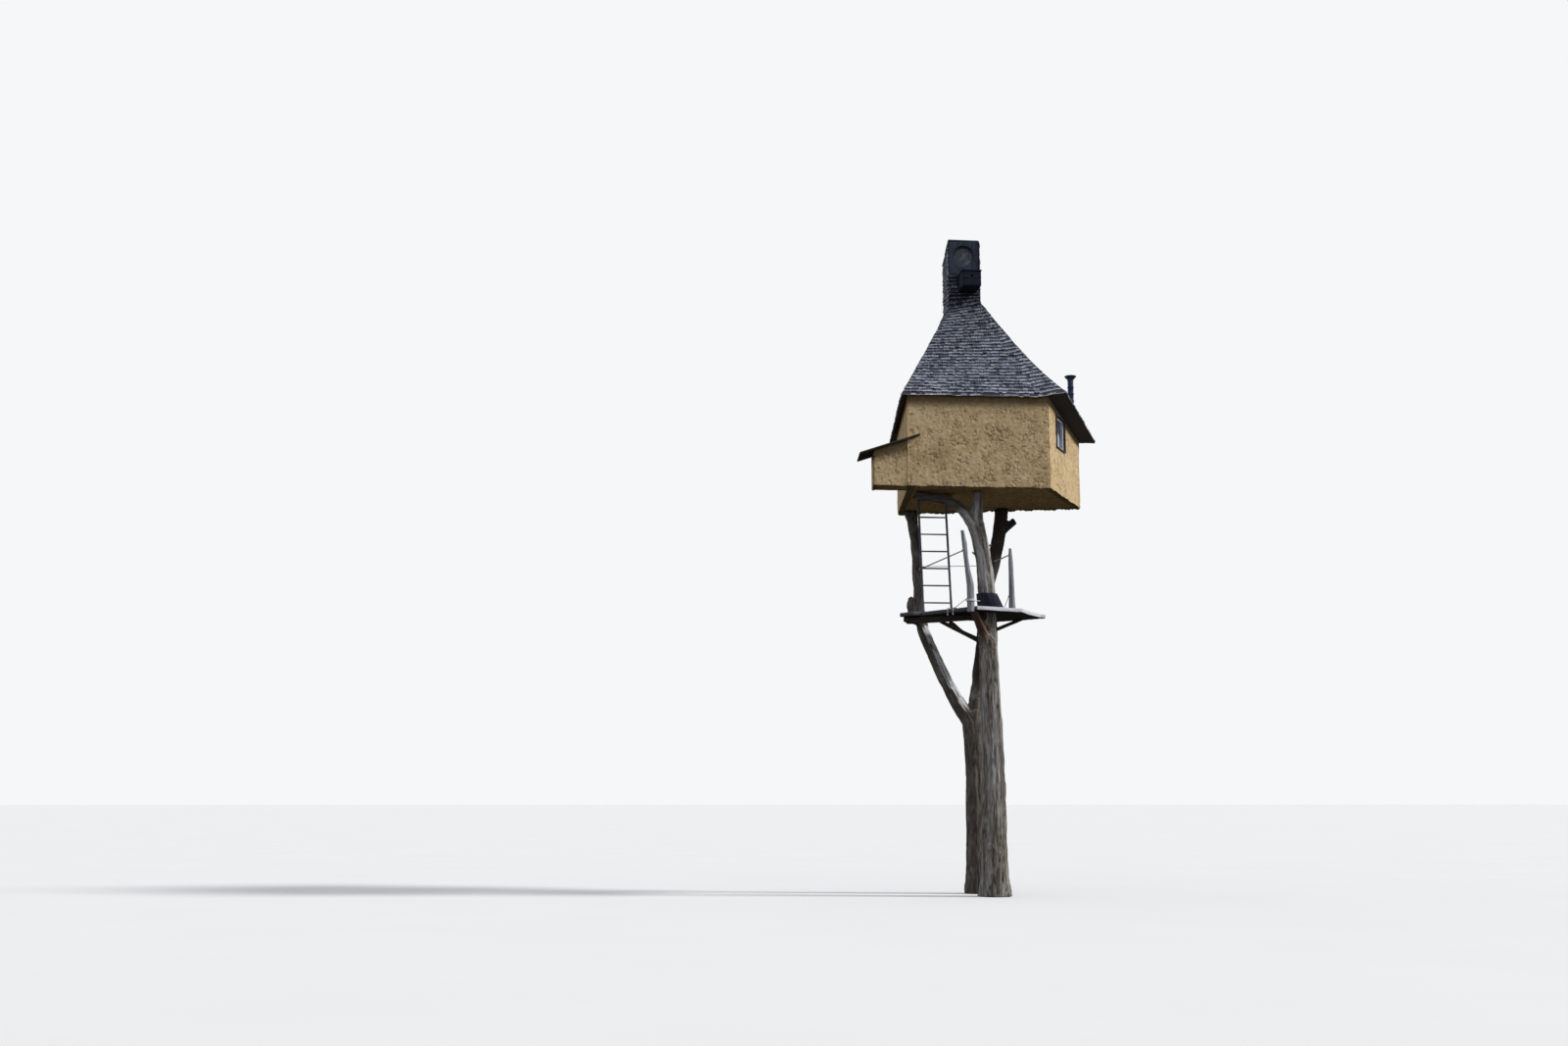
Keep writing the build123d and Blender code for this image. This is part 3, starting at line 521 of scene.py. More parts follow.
def earth_plaster(name, settings, body, pale):
    """Straw and earth plaster, thrown and floated by hand: matt, torn in short curves edged with painted shadow,
    stained by damp, and darkened by painted shade in its pits, under the eave and under its foot.
    """
    material, tree, shader = new_material(name, {"Roughness": 0.95, "Specular IOR Level": 0.03})
    place = add_node(tree, "TexCoord").outputs["Object"]
    # Painted shade stored on the walls: in pits, at torn flakes, under the eave and under the foot
    hollow = add_node(tree, "Attribute", {"attribute_name": "hollow"}).outputs["Fac"]
    mottle, dried = patches(tree, place, {"Scale": 17.0, "Detail": 6.0, "Roughness": 0.7}, 0.40, 0.66)
    damp = patches(tree, place, {"Scale": 1.7, "Detail": 6.0, "Roughness": 0.6}, 0.50, 0.76, 0.45)[1]
    grit = add_node(tree, "TexNoise", {"Scale": 70.0, "Detail": 3.0, "Roughness": 0.7}, {"Vector": place})
    # Straw about 50 mm long, drawn 10 mm wide so that it shows
    straws = []
    for turn, shift in ((0.6, 0.0), (-0.5, 3.0), (1.4, 7.0)):
        lie = {"Rotation": (turn, turn * 0.7, 0.4 + turn), "Location": (shift, shift, 0), "Scale": (19, 95, 95)}
        laid = add_node(tree, "Mapping", lie, {"Vector": place})
        straws.append(patches(tree, laid, {"Scale": 1.0, "Detail": 1.0}, 0.68, 0.74, 0.7)[1])
    # Torn flakes about 60 mm across, whose edges show here and there as short curves of painted shadow
    bend = {"operation": "MULTIPLY_ADD", "1": (0.07, 0.07, 0.07)}
    bent = add_node(tree, "VectorMath", bend, {"0": mottle.outputs["Color"], "2": place})
    flakes = add_node(tree, "TexVoronoi", {"feature": "DISTANCE_TO_EDGE", "Scale": 16.0}, {"Vector": bent})
    rim = {"From Min": 0.03, "From Max": 0.09, "To Min": 1.0, "To Max": 0.0}
    edge = add_node(tree, "MapRange", rim, {"Value": flakes})
    shown = patches(tree, place, {"Scale": 11.0, "Detail": 4.0, "Roughness": 0.7}, 0.58, 0.66, 0.6)[1]
    painted_shadow = add_node(tree, "Math", {"operation": "MULTIPLY"}, {"0": edge, "1": shown})
    dark = add_node(tree, "Math", {"operation": "MAXIMUM"}, {"0": painted_shadow, "1": hollow})
    height = add_node(tree, "Math", {"operation": "MULTIPLY", "1": 0.9}, {"0": mottle})
    for rough, share in ((grit, 0.35), (straws[-1], 0.2)):
        height = add_node(tree, "Math", {"operation": "MULTIPLY_ADD", "1": share}, {"0": rough, "2": height})
    height = add_node(tree, "Math", {"operation": "SUBTRACT"}, {"0": height, "1": painted_shadow})
    coats = [(pale, dried), (settings.stain, damp), *((settings.straw, s) for s in straws), (settings.painted_shadow, dark)]
    finish_surface(tree, shader, body, coats, (height, 0.8, 0.006))
    return material


def grained_wood(name, light, shade, roughness, across_mm, along_mm, pale=None):
    """Weathered wood: streaks of grain along the stored grain, with dark checks, pale raised fibres, and painted
    light and shade where its wear says so.
    """
    material, tree, shader = new_material(name, {"Roughness": roughness, "Specular IOR Level": 0.12})
    grain = add_node(tree, "Attribute", {"attribute_name": "grain"}).outputs["Vector"]
    scale = (1000 / across_mm, 1000 / across_mm, 1000 / along_mm)
    squeezed = add_node(tree, "Mapping", {"Scale": scale}, {"Vector": grain})
    spots = {"Scale": 1.0, "Detail": 4.0, "Roughness": 0.65, "Distortion": 0.4}
    streak, lit = patches(tree, squeezed, spots, 0.32, 0.62)
    dull = patches(tree, grain, {"Scale": 3.5, "Detail": 3.0}, 0.5, 0.8, 0.7)[1]
    # Wear from 0 to 1 is a pale arris: rubbed wood on the posts, a painted highlight on the slabs; from 0 to -1 it
    # is a side in painted shade
    worn = add_node(tree, "Attribute", {"attribute_name": "worn"}).outputs["Fac"]
    fibres = add_node(tree, "Math", {"operation": "MULTIPLY"}, {"0": worn, "1": streak})
    rubbed = add_node(tree, "MapRange", {"From Min": 0.05, "From Max": 0.5}, {"Value": fibres})
    shaded = add_node(tree, "MapRange", {"From Min": 0.0, "From Max": -1.0, "To Max": 0.95}, {"Value": worn})
    painted_shade_colour = [c * 0.22 for c in shade[:3]] + [1.0]
    coats = [(light, lit), (shade, dull), (pale or light, rubbed), (painted_shade_colour, shaded)]
    finish_surface(tree, shader, shade, coats, (streak, 0.7, 0.003))
    return material


def cleft_shakes(name, settings):
    """Cleft shakes weathered silver grey: each its own tone, streaked down its length, pale at its butt with
    silvering and a painted highlight, and darkened under the next course by dirt and painted shadow.
    """
    material, tree, shader = new_material(name, {"Roughness": 0.85, "Specular IOR Level": 0.1})
    grain = add_node(tree, "Attribute", {"attribute_name": "grain"}).outputs["Vector"]
    tint, worn = [add_node(tree, "Attribute", {"attribute_name": a}).outputs["Fac"] for a in ("tint", "worn")]
    squeezed = add_node(tree, "Mapping", {"Scale": (95, 11, 9)}, {"Vector": grain})
    streak, fibre = patches(tree, squeezed, {"Scale": 1.0, "Detail": 3.0}, 0.50, 0.74, 0.55)
    # The butt is pale for its lowest 24 mm, silvered and with a painted highlight, and dirt and painted shadow
    # darken the shake where the next course covers it
    down = add_node(tree, "SeparateXYZ", {}, {"Vector": grain}).outputs["Y"]
    foot = {"From Min": 0.0, "From Max": 0.024, "To Min": 1.0, "To Max": 0.0}
    butt = add_node(tree, "MapRange", foot, {"Value": down})
    silver = add_node(tree, "Math", {"operation": "MULTIPLY"}, {"0": butt, "1": worn})
    dirt_and_shadow = add_node(tree, "MapRange", {"From Min": 0.03, "From Max": 0.055, "To Max": 0.95}, {"Value": down})
    coats = [(settings.grey, tint), (settings.pale, fibre), (settings.pale, silver), (settings.dark, dirt_and_shadow)]
    finish_surface(tree, shader, settings.dark, coats, (streak, 0.6, 0.003))
    return material


def old_bark(name, settings):
    """Bark of an old trunk: grey plates over furrows dark with painted shade, lichen, moss, and silver where it is
    split.
    """
    material, tree, shader = new_material(name, {"Roughness": 0.92, "Specular IOR Level": 0.06})
    grain = add_node(tree, "Attribute", {"attribute_name": "grain"}).outputs["Vector"]
    bare, moss, heart, furrow = [
        add_node(tree, "Attribute", {"attribute_name": mark}).outputs["Fac"] for mark in STEM_MARKS
    ]
    squeezed = add_node(tree, "Mapping", {"Scale": (70, 70, 5.5)}, {"Vector": grain})
    fibre, plate = patches(tree, squeezed, {"Scale": 1.0, "Detail": 5.0, "Roughness": 0.7}, 0.3, 0.6)
    lichen = patches(tree, grain, {"Scale": 5.0, "Detail": 4.0}, 0.55, 0.72, 0.5)[1]
    silvered = add_node(tree, "MapRange", {"From Min": 0.35, "From Max": 0.55}, {"Value": fibre})
    wood = {"data_type": "RGBA", "6": settings.grey, "7": settings.silver}
    split = add_node(tree, "Mix", wood, {"0": silvered})
    coats = [
        (settings.grey, plate), (settings.lichen, lichen), (settings.moss, moss),
        (settings.heart, heart), (settings.furrow_colour, furrow), (split, bare),
    ]
    finish_surface(tree, shader, settings.furrow_colour, coats, (fibre, 0.9, 0.006))
    return material


def painted(name, body, worn, roughness, spot_mm):
    """Paint over wood or sheet steel: one body colour, rubbed and dusty in soft patches."""
    material, tree, shader = new_material(name, {"Roughness": roughness, "Specular IOR Level": 0.25})
    place = add_node(tree, "TexCoord").outputs["Object"]
    spots = {"Scale": 1000 / spot_mm, "Detail": 5.0, "Roughness": 0.7}
    pattern, rubbed = patches(tree, place, spots, 0.5, 0.75, 0.6)
    finish_surface(tree, shader, body, [(worn, rubbed)], (pattern, 0.3, 0.001))
    return material


def window_pane(name, settings):
    """Old window glass: a dark room behind it as painted shade, and soft streaks of painted sky reflection on its
    face.
    """
    sockets = {"Roughness": 0.06, "IOR": 1.5, "Specular IOR Level": 0.8, "Coat Weight": 0.4}
    material, tree, shader = new_material(name, sockets)
    place = add_node(tree, "TexCoord").outputs["Object"]
    slant = {"Rotation": (0.5, 0.6, 0.3), "Scale": (2.2, 2.2, 5)}
    slanted = add_node(tree, "Mapping", slant, {"Vector": place})
    # Painted sky reflection in soft streaks over the painted dark of the room
    cloud = patches(tree, slanted, {"Scale": 1.6, "Detail": 2.0}, 0.42, 0.6)[1]
    finish_surface(tree, shader, linear("#3c4656"), [(settings.pane, cloud)])
    return material


def clouded_pane(name, settings):
    """Round pane of dusty glass in shade: nearly black, with pale blots of the sky it mirrors."""
    material, tree, shader = new_material(name, {"Roughness": 0.25, "IOR": 1.5, "Specular IOR Level": 0.35})
    place = add_node(tree, "TexCoord").outputs["Object"]
    blots = patches(tree, place, {"Scale": 13.0, "Detail": 3.0, "Roughness": 0.6}, 0.52, 0.68, 0.8)[1]
    finish_surface(tree, shader, linear("#2f3542"), [(settings.pane, blots)])
    return material


def material_named(name):
    """A material made once and shared by the pieces that have it."""
    if name in bpy.data.materials:
        return bpy.data.materials[name]
    scene = bpy.context.scene
    coat = scene.tree_house_plaster
    timber = scene.tree_house_timber
    fitting = scene.tree_house_fitting
    # Woods: light, shade, roughness, grain across and along in millimetres. Paints: body, worn, roughness, spots
    maker, *values = {
        "straw_plaster": (earth_plaster, coat, coat.ochre, coat.pale),
        "shaded_plaster": (earth_plaster, coat, coat.stain, coat.ochre),
        "weathered_shakes": (cleft_shakes, scene.tree_house_shakes),
        "weathered_bark": (old_bark, scene.tree_house_bark),
        "silvered_slab": (grained_wood, timber.silver, timber.silver_dark, 0.85, 11, 220, timber.worn_and_lit_edge),
        "dark_beam": (grained_wood, timber.dark, timber.dark_shade, 0.9, 12, 180),
        "ladder_wood": (grained_wood, timber.ladder, timber.ladder_shade, 0.75, 7, 140),
        "stained_board": (grained_wood, timber.board, timber.board_shade, 0.7, 10, 240),
        "tarred_board": (grained_wood, timber.collar, timber.collar_shade, 0.8, 10, 200),
        "bird_box_board": (grained_wood, timber.box, timber.box_shade, 0.8, 9, 200),
        "laid_rope": (painted, fitting.rope, linear("#77746a"), 0.9, 18),
        "white_rope": (painted, fitting.paint, fitting.rope, 0.9, 18),
        "white_paint": (painted, fitting.paint, linear("#a8a9a6"), 0.5, 60),
        "oiled_casing": (painted, fitting.casing, linear("#5b5049"), 0.6, 50),
        "window_glass": (window_pane, fitting),
        "porthole_paint": (painted, timber.board, timber.board_shade, 0.7, 60),
        "porthole_pane": (clouded_pane, fitting),
        "stove_paint": (painted, fitting.steel, fitting.steel_worn, 0.55, 45),
        "roof_boards": (painted, linear("#464046"), linear("#5d5352"), 0.9, 70),
    }[name]
    return maker(name, *values)


# Operators


class TREEHOUSE_OT_stage(bpy.types.Operator):
    """Set up the camera, the pale floor and the soft studio light"""

    bl_idname = "treehouse.stage"
    bl_label = "Studio"

    def execute(self, context):
        scene = context.scene
        stage = scene.tree_house_stage
        camera = link_object("camera", bpy.data.cameras.new("camera"))
        camera.data.sensor_width = 36
        camera.data.lens = stage.lens
        camera.data.clip_end = 1000
        camera.location = (stage.eye_x, stage.eye_y, stage.eye_height)
        level = math.cos(stage.pitch)
        ahead = Vector((math.sin(stage.turn) * level, math.cos(stage.turn) * level, math.sin(stage.pitch)))
        camera.rotation_euler = ahead.to_track_quat("-Z", "Y").to_euler()
        scene.camera = camera

        bm = bmesh.new()
        bmesh.ops.create_grid(bm, x_segments=1, y_segments=1, size=400)
        floor = mesh_object("floor", bm)
        material, tree, shader = new_material("studio_floor", {"Roughness": 0.9})
        place = add_node(tree, "TexCoord").outputs["Object"]
        cloud = add_node(tree, "TexNoise", {"Scale": 0.4, "Detail": 2.0}, {"Vector": place})
        finish_surface(tree, shader, stage.floor_colour, [(linear("#e4e4e1"), cloud)])
        # The camera sees the pale floor, and the house gets the little light that turf throws up
        turf = add_node(tree, "BsdfDiffuse", {"Color": stage.turf_colour})
        seen = add_node(tree, "LightPath").outputs["Is Camera Ray"]
        either = add_node(tree, "MixShader", {}, {"0": seen, "1": turf, "2": shader})
        tree.links.new(either.outputs["Shader"], tree.nodes["Material Output"].inputs["Surface"])
        floor.data.materials.append(material)

        sun = link_object("key_light", bpy.data.lights.new("key_light", "SUN"))
        sun.data.energy = stage.sun_power
        sun.data.angle = stage.sun_width
        toward = Vector((0.80, -0.16, 0.58))
        sun.rotation_euler = (-toward).to_track_quat("-Z", "Y").to_euler()

        scene.world = bpy.data.worlds.new("studio")
        scene.world.use_nodes = True
        tree = scene.world.node_tree
        light = tree.nodes["Background"]
        light.inputs["Color"].default_value = linear("#f3f6ff")
        light.inputs["Strength"].default_value = stage.sky_power
        backdrop = add_node(tree, "Background", {"Color": stage.sky_colour, "Strength": 1.0})
        path = add_node(tree, "LightPath")
        seen = path.outputs["Is Camera Ray"]
        for ray in ("Is Glossy Ray", "Is Transmission Ray"):
            seen = add_node(tree, "Math", {"operation": "MAXIMUM"}, {"0": seen, "1": path.outputs[ray]})
        mix = add_node(tree, "MixShader", {}, {"0": seen, "1": light, "2": backdrop})
        tree.links.new(mix.outputs["Shader"], tree.nodes["World Output"].inputs["Surface"])
        scene.view_settings.view_transform = "Standard"
        return {"FINISHED"}


def stem_marks(bm, marks):
    """Stores where bark is bare, mossy, torn to the heart, or darkened by painted shade in its furrows and
    elsewhere, as one value a vertex.
    """
    grain = bm.verts.layers.float_vector["grain"]
    layers = [bm.verts.layers.float.new(name) for name in STEM_MARKS]
    for vert in bm.verts:
        place = vert[grain]
        values = list(marks(vert.co, vert.normal, place))
        # Painted shade darkens the furrows, the lowest parts of the bark's relief
        values[3] = max(values[3], min(1 - abs(furrow_noise(place)) * 7, 0.85))
        for layer, value in zip(layers, values):
            vert[layer] = clamp(value)


def front_marks(point, normal, place):
    """Strips of bare wood, moss on the right above the deck, the torn red knee below it, and painted shade on the
    limb under the cabin's floor.
    """
    strip = drawn_out(place, 11, 0.7, (0, 0, 5))
    above = fade(point.z - BARE_FROM, 0.3)
    bare = clamp((strip + above * 0.2) * 2, 0, 0.25 + above * 0.25)
    level = fade(point.z - MOSS_FROM, 0.2) * fade(MOSS_TO - point.z, 0.5)
    moss = level * (normal.x * 1.5 + 0.2) * (0.5 + noise.noise(point * 9)) * 0.8
    knee = fade(-0.12 - point.y, 0.1) if KNEE_FROM < point.z < KNEE_TO and point.x < 0.02 else 0
    scar = 1 - (point - KNOT_SCAR).length / 0.035
    # Painted shade on the limb where it runs under the cabin's floor
    floor_shade = fade(point.z - FLOOR_SHADE_FROM, 0.2, 0.8) * clamp((-0.2 - point.x) / 0.15, 0.35)
    return bare * (1 - knee) * (1 - floor_shade), moss, knee * 0.85, max(scar, 0.35 * knee * (strip > 0.1), floor_shade)


def rear_marks(point, normal, place):
    """Silver wood along the split upper side of the left stem, edged by a dark rim; painted shade keeps the right
    stem dark and darkens the whole trunk unevenly.
    """
    bare = 0
    if SPLIT_FROM < point.z < SPLIT_TO and point.x < -0.12:
        ragged = noise.noise(Vector((place.z * 6, place.x * 4, 3.7))) * 0.3 + noise.noise(point * 12) * 0.08
        facing = normal.dot(Vector((0.74, -0.28, 0.6)))
        bare = (facing - 0.44 + ragged) * 6 * min((point.z - SPLIT_FROM) / 0.2, 1)
    # Painted shade on the right stem
    right_stem_shade = fade(point.z - SPLIT_FROM, 0.5) * fade(point.x + 0.2, 0.15)
    # Uneven painted shade over the whole trunk
    damp = 0.4 + 0.3 * noise.noise(point * 3)
    rim = 0.9 - abs(bare + 0.6) if SPLIT_FROM + 0.05 < point.z < SPLIT_TO and bare < 0.3 else 0
    return bare, 0, 0, max(right_stem_shade * 0.85, damp, rim)


class TREEHOUSE_OT_trunks(bpy.types.Operator):
    """Cover both trunks and their limbs with furrowed bark"""

    bl_idname = "treehouse.trunks"
    bl_label = "Trunks"

    def execute(self, context):
        bark = context.scene.tree_house_bark
        stems = (
            ("front_trunk", FRONT_TRUNK_LINES, front_marks, TWIG_STUBS),
            ("rear_trunk", REAR_TRUNK_LINES, rear_marks, ()),
        )
        for node, lines, marks, stubs in stems:
            bm = even_skin(node, bark.cell)
            weather(bm, limb_grain(lines), bark_relief(bark.furrow), 3)
            bm.normal_update()
            stem_marks(bm, marks)
            low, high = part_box(node)
            for vert in bm.verts:
                vert.co.z = clamp(vert.co.z, low.z, high.z)
            for root, toward in stubs:
                turn = Vector(toward).to_track_quat("Z", "Y").to_matrix().to_4x4()
                place = Matrix.Translation(root) @ turn
                bmesh.ops.create_cone(
                    bm, cap_ends=True, segments=9, radius1=0.03, radius2=0.012, depth=0.2, matrix=place
                )
            add_piece(bm, node + "_bark", "weathered_bark", [node])
        return {"FINISHED"}


def timber_piece(name, node, axis, cell, depth, material, smoothing=1, worn=None):
    """Replaces a timber of the construction by the same timber with raised grain and soft edges."""
    bm = even_skin(node, cell)
    weather(bm, straight_grain(axis), timber_relief(depth), smoothing, worn)
    add_piece(bm, name, material, [node])


def farthest_pair(points):
    """Two points that lie about as far apart as any."""
    first = max(points, key=lambda p: (p - points[0]).length)
    return first, max(points, key=lambda p: (p - first).length)


def long_axis(node):
    """The direction in which most of a node's edges run, near the line between its farthest points."""
    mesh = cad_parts[node].data
    points = [v.co for v in mesh.vertices]
    first, second = farthest_pair(points)
    rough = (second - first).normalized()
    total = Vector()
    for edge in mesh.edges:
        run = points[edge.vertices[1]] - points[edge.vertices[0]]
        share = run.dot(rough)
        if abs(share) > run.length * 0.9:
            total += run * share
    return total.normalized() if total.length > 0 else rough


def slab_painted_light(point, normal):
    """Painted light and shade of the slabs: a painted highlight on the edges that face the front and right, and
    painted shade below and at their left ends.
    """
    ragged = noise.noise(point * 14) * 0.25
    if normal.z < -0.4:
        return -0.95
    if point.x < -0.32:
        return min(0, normal.z - 0.7) + ragged * 0.4
    facing = normal.x * 0.45 - normal.y * 0.9
    return clamp((facing - 0.35) * 3) * (0.95 + ragged)


class TREEHOUSE_OT_deck(bpy.types.Operator):
    """Weather the deck's slabs, beam, struts and the collar round the trunk"""

    bl_idname = "treehouse.deck"
    bl_label = "Deck"

    def execute(self, context):
        timber = context.scene.tree_house_timber
        slabs = sorted(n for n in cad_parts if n.startswith("deck_slab"))
        grain = long_axis(slabs[1])
        for node in slabs:
            name = node.replace("deck_slab", "weathered_slab")
            timber_piece(name, node, grain, timber.slab_cell, 0.006, "silvered_slab", worn=slab_painted_light)
        for node in ("deck_beam", "strut_left", "strut_right"):
            timber_piece(node + "_hewn", node, long_axis(node), timber.beam_cell, 0.006, "dark_beam")
        timber_piece("trunk_collar_skirt", "trunk_collar", UP, timber.slab_cell, 0.012, "tarred_board", 2)
        return {"FINISHED"}


def laid_rope(bm, start, end, radius, pitch):
    """Twists three strands round the straight line between two points."""
    run = end - start
    along = run.normalized()
    turns = run.length / pitch
    steps = max(4, int(turns * 8))
    side = along.orthogonal().normalized()
    for k in range(3):
        turn = Quaternion(along, 2 * math.pi * k / 3)
        centre = start + (turn @ side) * radius * 0.48
        matrix = Matrix.Translation(centre) @ along.to_track_quat("Z", "Y").to_matrix().to_4x4()
        ring = bmesh.ops.create_circle(bm, cap_ends=True, radius=radius * 0.54, segments=6, matrix=matrix)
        geom = list(ring["verts"]) + linked(ring["verts"], "edges") + linked(ring["verts"], "faces")
        bmesh.ops.spin(
            bm, geom=geom, cent=start, axis=along, dvec=run / steps, angle=2 * math.pi * turns, steps=steps
        )


def rope_turns(bm, centre, axis, ring_radius, rope_radius, count, sides=6, steps=20):
    """Turns of rope round a post, side by side along its axis."""
    side = axis.orthogonal().normalized()
    for k in range(count):
        middle = centre + axis * rope_radius * 1.9 * (k - (count - 1) / 2)
        start = middle + side * ring_radius
        matrix = Matrix.Translation(start) @ axis.cross(side).to_track_quat("Z", "Y").to_matrix().to_4x4()
        ring = bmesh.ops.create_circle(bm, radius=rope_radius, segments=sides, matrix=matrix)
        geom = list(ring["verts"]) + linked(ring["verts"], "edges")
        bmesh.ops.spin(bm, geom=geom, cent=middle, axis=axis, angle=2 * math.pi, steps=steps, use_merge=True)


def rope_ends(node):
    """Ends of each rope of a node, longest first: the two farthest points of each loose part."""
    bm = cad_copy(node)
    found = []
    left = set(bm.verts)
    for root in bm.verts:
        if root not in left:
            continue
        left.remove(root)
        reached = [root]
        for vert in reached:
            for edge in vert.link_edges:
                other = edge.other_vert(vert)
                if other in left:
                    left.remove(other)
                    reached.append(other)
        points = [v.co.copy() for v in reached]
        first, second = farthest_pair(points)
        axis = (second - first).normalized()
        near = [p for p in points if (p - first).dot(axis) < 0.05]
        far = [p for p in points if (second - p).dot(axis) < 0.05]
        found.append((sum(near, Vector()) / len(near), sum(far, Vector()) / len(far)))
    bm.free()
    return sorted(found, key=lambda pair: -(pair[1] - pair[0]).length)


class TREEHOUSE_OT_rails(bpy.types.Operator):
    """Shape the rail posts and lay the white ropes with their turns and knots"""

    bl_idname = "treehouse.rails"
    bl_label = "Rails and ropes"

    def execute(self, context):
        fitting = context.scene.tree_house_fitting
        cell = context.scene.tree_house_timber.post_cell
        for node in ("rail_post_front", "rail_post_right"):
            timber_piece(node + "_peeled", node, UP, cell, 0.006, "silvered_slab", 2, lambda *_: 0.2)
        for node, radii in (("rope_left", (0.011, 0.006, 0.006)), ("rope_right", (0.011, 0.006))):
            bm = bmesh.new()
            for (start, end), radius in zip(rope_ends(node), radii):
                laid_rope(bm, start, end, radius, fitting.rope_pitch)
                for point, other in ((start, end), (end, start)):
                    inward = (other - point).normalized()
                    rope_turns(bm, point + inward * radius * 2, inward, radius * 1.25, radius * 0.7, 3, 5, 10)
            bmesh.ops.recalc_face_normals(bm, faces=bm.faces)
            add_piece(bm, node + "_laid", "laid_rope", [node])
        bm = bmesh.new()
        # Two lashings hang over the deck's left edge with a knot each, and one ties the front post
        for edge in LASHED_EDGES:
            over = Vector(edge) + LASHING_OUT * 0.02
            foot = over - UP * LASHING_DROP
            laid_rope(bm, Vector(edge) - LASHING_OUT * 0.07, over, LASHING_RADIUS, LASHING_PITCH)
            laid_rope(bm, over + UP * 0.004, foot, LASHING_RADIUS, LASHING_PITCH)
            rope_turns(bm, foot + UP * 0.012, UP, 0.007, 0.005, 2, 6, 12)
        rope_turns(bm, POST_RING, UP, 0.067, 0.008, 2)
        laid_rope(bm, *POST_TIE, LASHING_RADIUS, LASHING_PITCH)
        bmesh.ops.recalc_face_normals(bm, faces=bm.faces)
        add_piece(bm, "deck_lashings", "white_rope")
        return {"FINISHED"}


class TREEHOUSE_OT_ladder(bpy.types.Operator):
    """Wear the ladder's rails and rungs"""

    bl_idname = "treehouse.ladder"
    bl_label = "Ladder"

    def execute(self, context):
        cell = context.scene.tree_house_timber.fine_cell
        for node in ("ladder_left_rail", "ladder_right_rail", "ladder_rungs"):
            axis = RIGHT if node == "ladder_rungs" else long_axis(node)
            timber_piece(node + "_worn", node, axis, cell, 0.002, "ladder_wood")
        return {"FINISHED"}


def plaster_relief(settings, point):
    """Depth of the thrown coat below its highest lumps, and how much painted shade darkens it where a torn flake
    opens it and in its pits.
    """
    bent = point + noise.noise_vector(point * 9) * 0.04
    lumps = noise.noise(point * 3.7) * 0.5 + noise.noise(bent * 15) * 0.3 + noise.noise(point * 37) * 0.18
    near = noise.voronoi(bent * 15)[0]
    shown = clamp(noise.noise(point * 6.1 + UP * 3) * 4 - 0.1)
    torn = max(0, 1 - (near[1] - near[0]) / 0.2) * shown
    pit = max(0, noise.noise(point * 25 + UP * 11) - 0.28) * 3
    return settings.relief * (0.5 - lumps * 0.75 + torn * 0.6 + pit * 0.6), min(torn * 0.45 + pit * 0.2, 0.6)


def plaster_wall(name, node, settings, rounded=(True, True), window=None, coarse=1, hang=1):
    """A wall with hand thrown plaster outside: lumps, torn flakes, soft corners and a ragged foot."""
    normal = outer_normal(node)
    outer = side_corners(node, normal)
    mirrored = side_corners(node, -normal)
    inner = [mirrored[1], mirrored[0], mirrored[3], mirrored[2]]
    width = (outer[1] - outer[0]).length
    tall = (outer[3] - outer[0]).length
    thick = abs((outer[0] - inner[0]).dot(normal))
    bm = bmesh.new()
    cell = settings.cell * coarse
    bmesh.ops.create_grid(bm, x_segments=round(width / cell), y_segments=round(tall / cell), size=0.5)
    hollow = bm.verts.layers.float.new("hollow")
    span = max(v.co.x for v in bm.verts)
    shares = {v: (v.co.x / span / 2 + 0.5, v.co.y / span / 2 + 0.5) for v in bm.verts}
    for vert, (s, t) in shares.items():
        outside = blend_corners(outer, s, t)
        # An end that butts against another wall keeps its plane, and a free corner keeps its mitre
        free = rounded[0 if s < 0.5 else 1]
        inward = (blend_corners(inner, s, t) - outside) / thick if free else -normal
        depth, vert[hollow] = plaster_relief(settings, outside)
        edge = (s if s < 0.5 else 1 - s) * width
        if free and edge < settings.arris:
            depth += settings.arris - math.sqrt(settings.arris**2 - (settings.arris - edge) ** 2)
        vert.co = outside + inward * max(depth, 0)
        foot = t * tall
        if foot < 0.06:
            ragged = 0.45 + noise.noise(outside * 6) * 0.7 + noise.noise(outside * 27) * 0.5
            vert.co.z -= settings.hang * hang * clamp(ragged) * (1 - foot / 0.06)
        # Painted shade darkens the foot's underside and the strip under the eave
        shade = max(0.8 if foot < cell / 2 else 0, 0.75 - (tall - foot - 0.1) / 0.12 * 0.75)
        vert[hollow] = max(vert[hollow], min(shade, 0.75))
    rim = [e for e in bm.edges if e.is_boundary]
    rim_shares = {v: shares[v] for e in rim for v in e.verts}
    extruded = bmesh.ops.extrude_edge_only(bm, edges=rim)["geom"]
    for vert in (g for g in extruded if isinstance(g, bmesh.types.BMVert)):
        partner = next(e.other_vert(vert) for e in vert.link_edges if e.other_vert(vert) in rim_shares)
        vert.co = blend_corners(inner, *rim_shares[partner])
    bmesh.ops.holes_fill(bm, edges=[e for e in bm.edges if e.is_boundary], sides=0)
    bmesh.ops.recalc_face_normals(bm, faces=bm.faces)
    if window:
        bm = cut_hole(bm, window)
    add_piece(bm, name, "straw_plaster", [node])


def window_measure():
    """The window's ways along, up and out, its middle, its size in those ways, and the reach of its face."""
    normal = outer_normal("right_wall")
    along = UP.cross(normal)
    points = [v.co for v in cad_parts["window_frame"].data.vertices]
    middle = Vector()
    size = []
    for way in (along, normal, UP):
        values = [p.dot(way) for p in points]
        middle += way * (min(values) + max(values)) / 2
        size.append(max(values) - min(values))
    return along, normal, middle, size, max(p.dot(normal) for p in points)


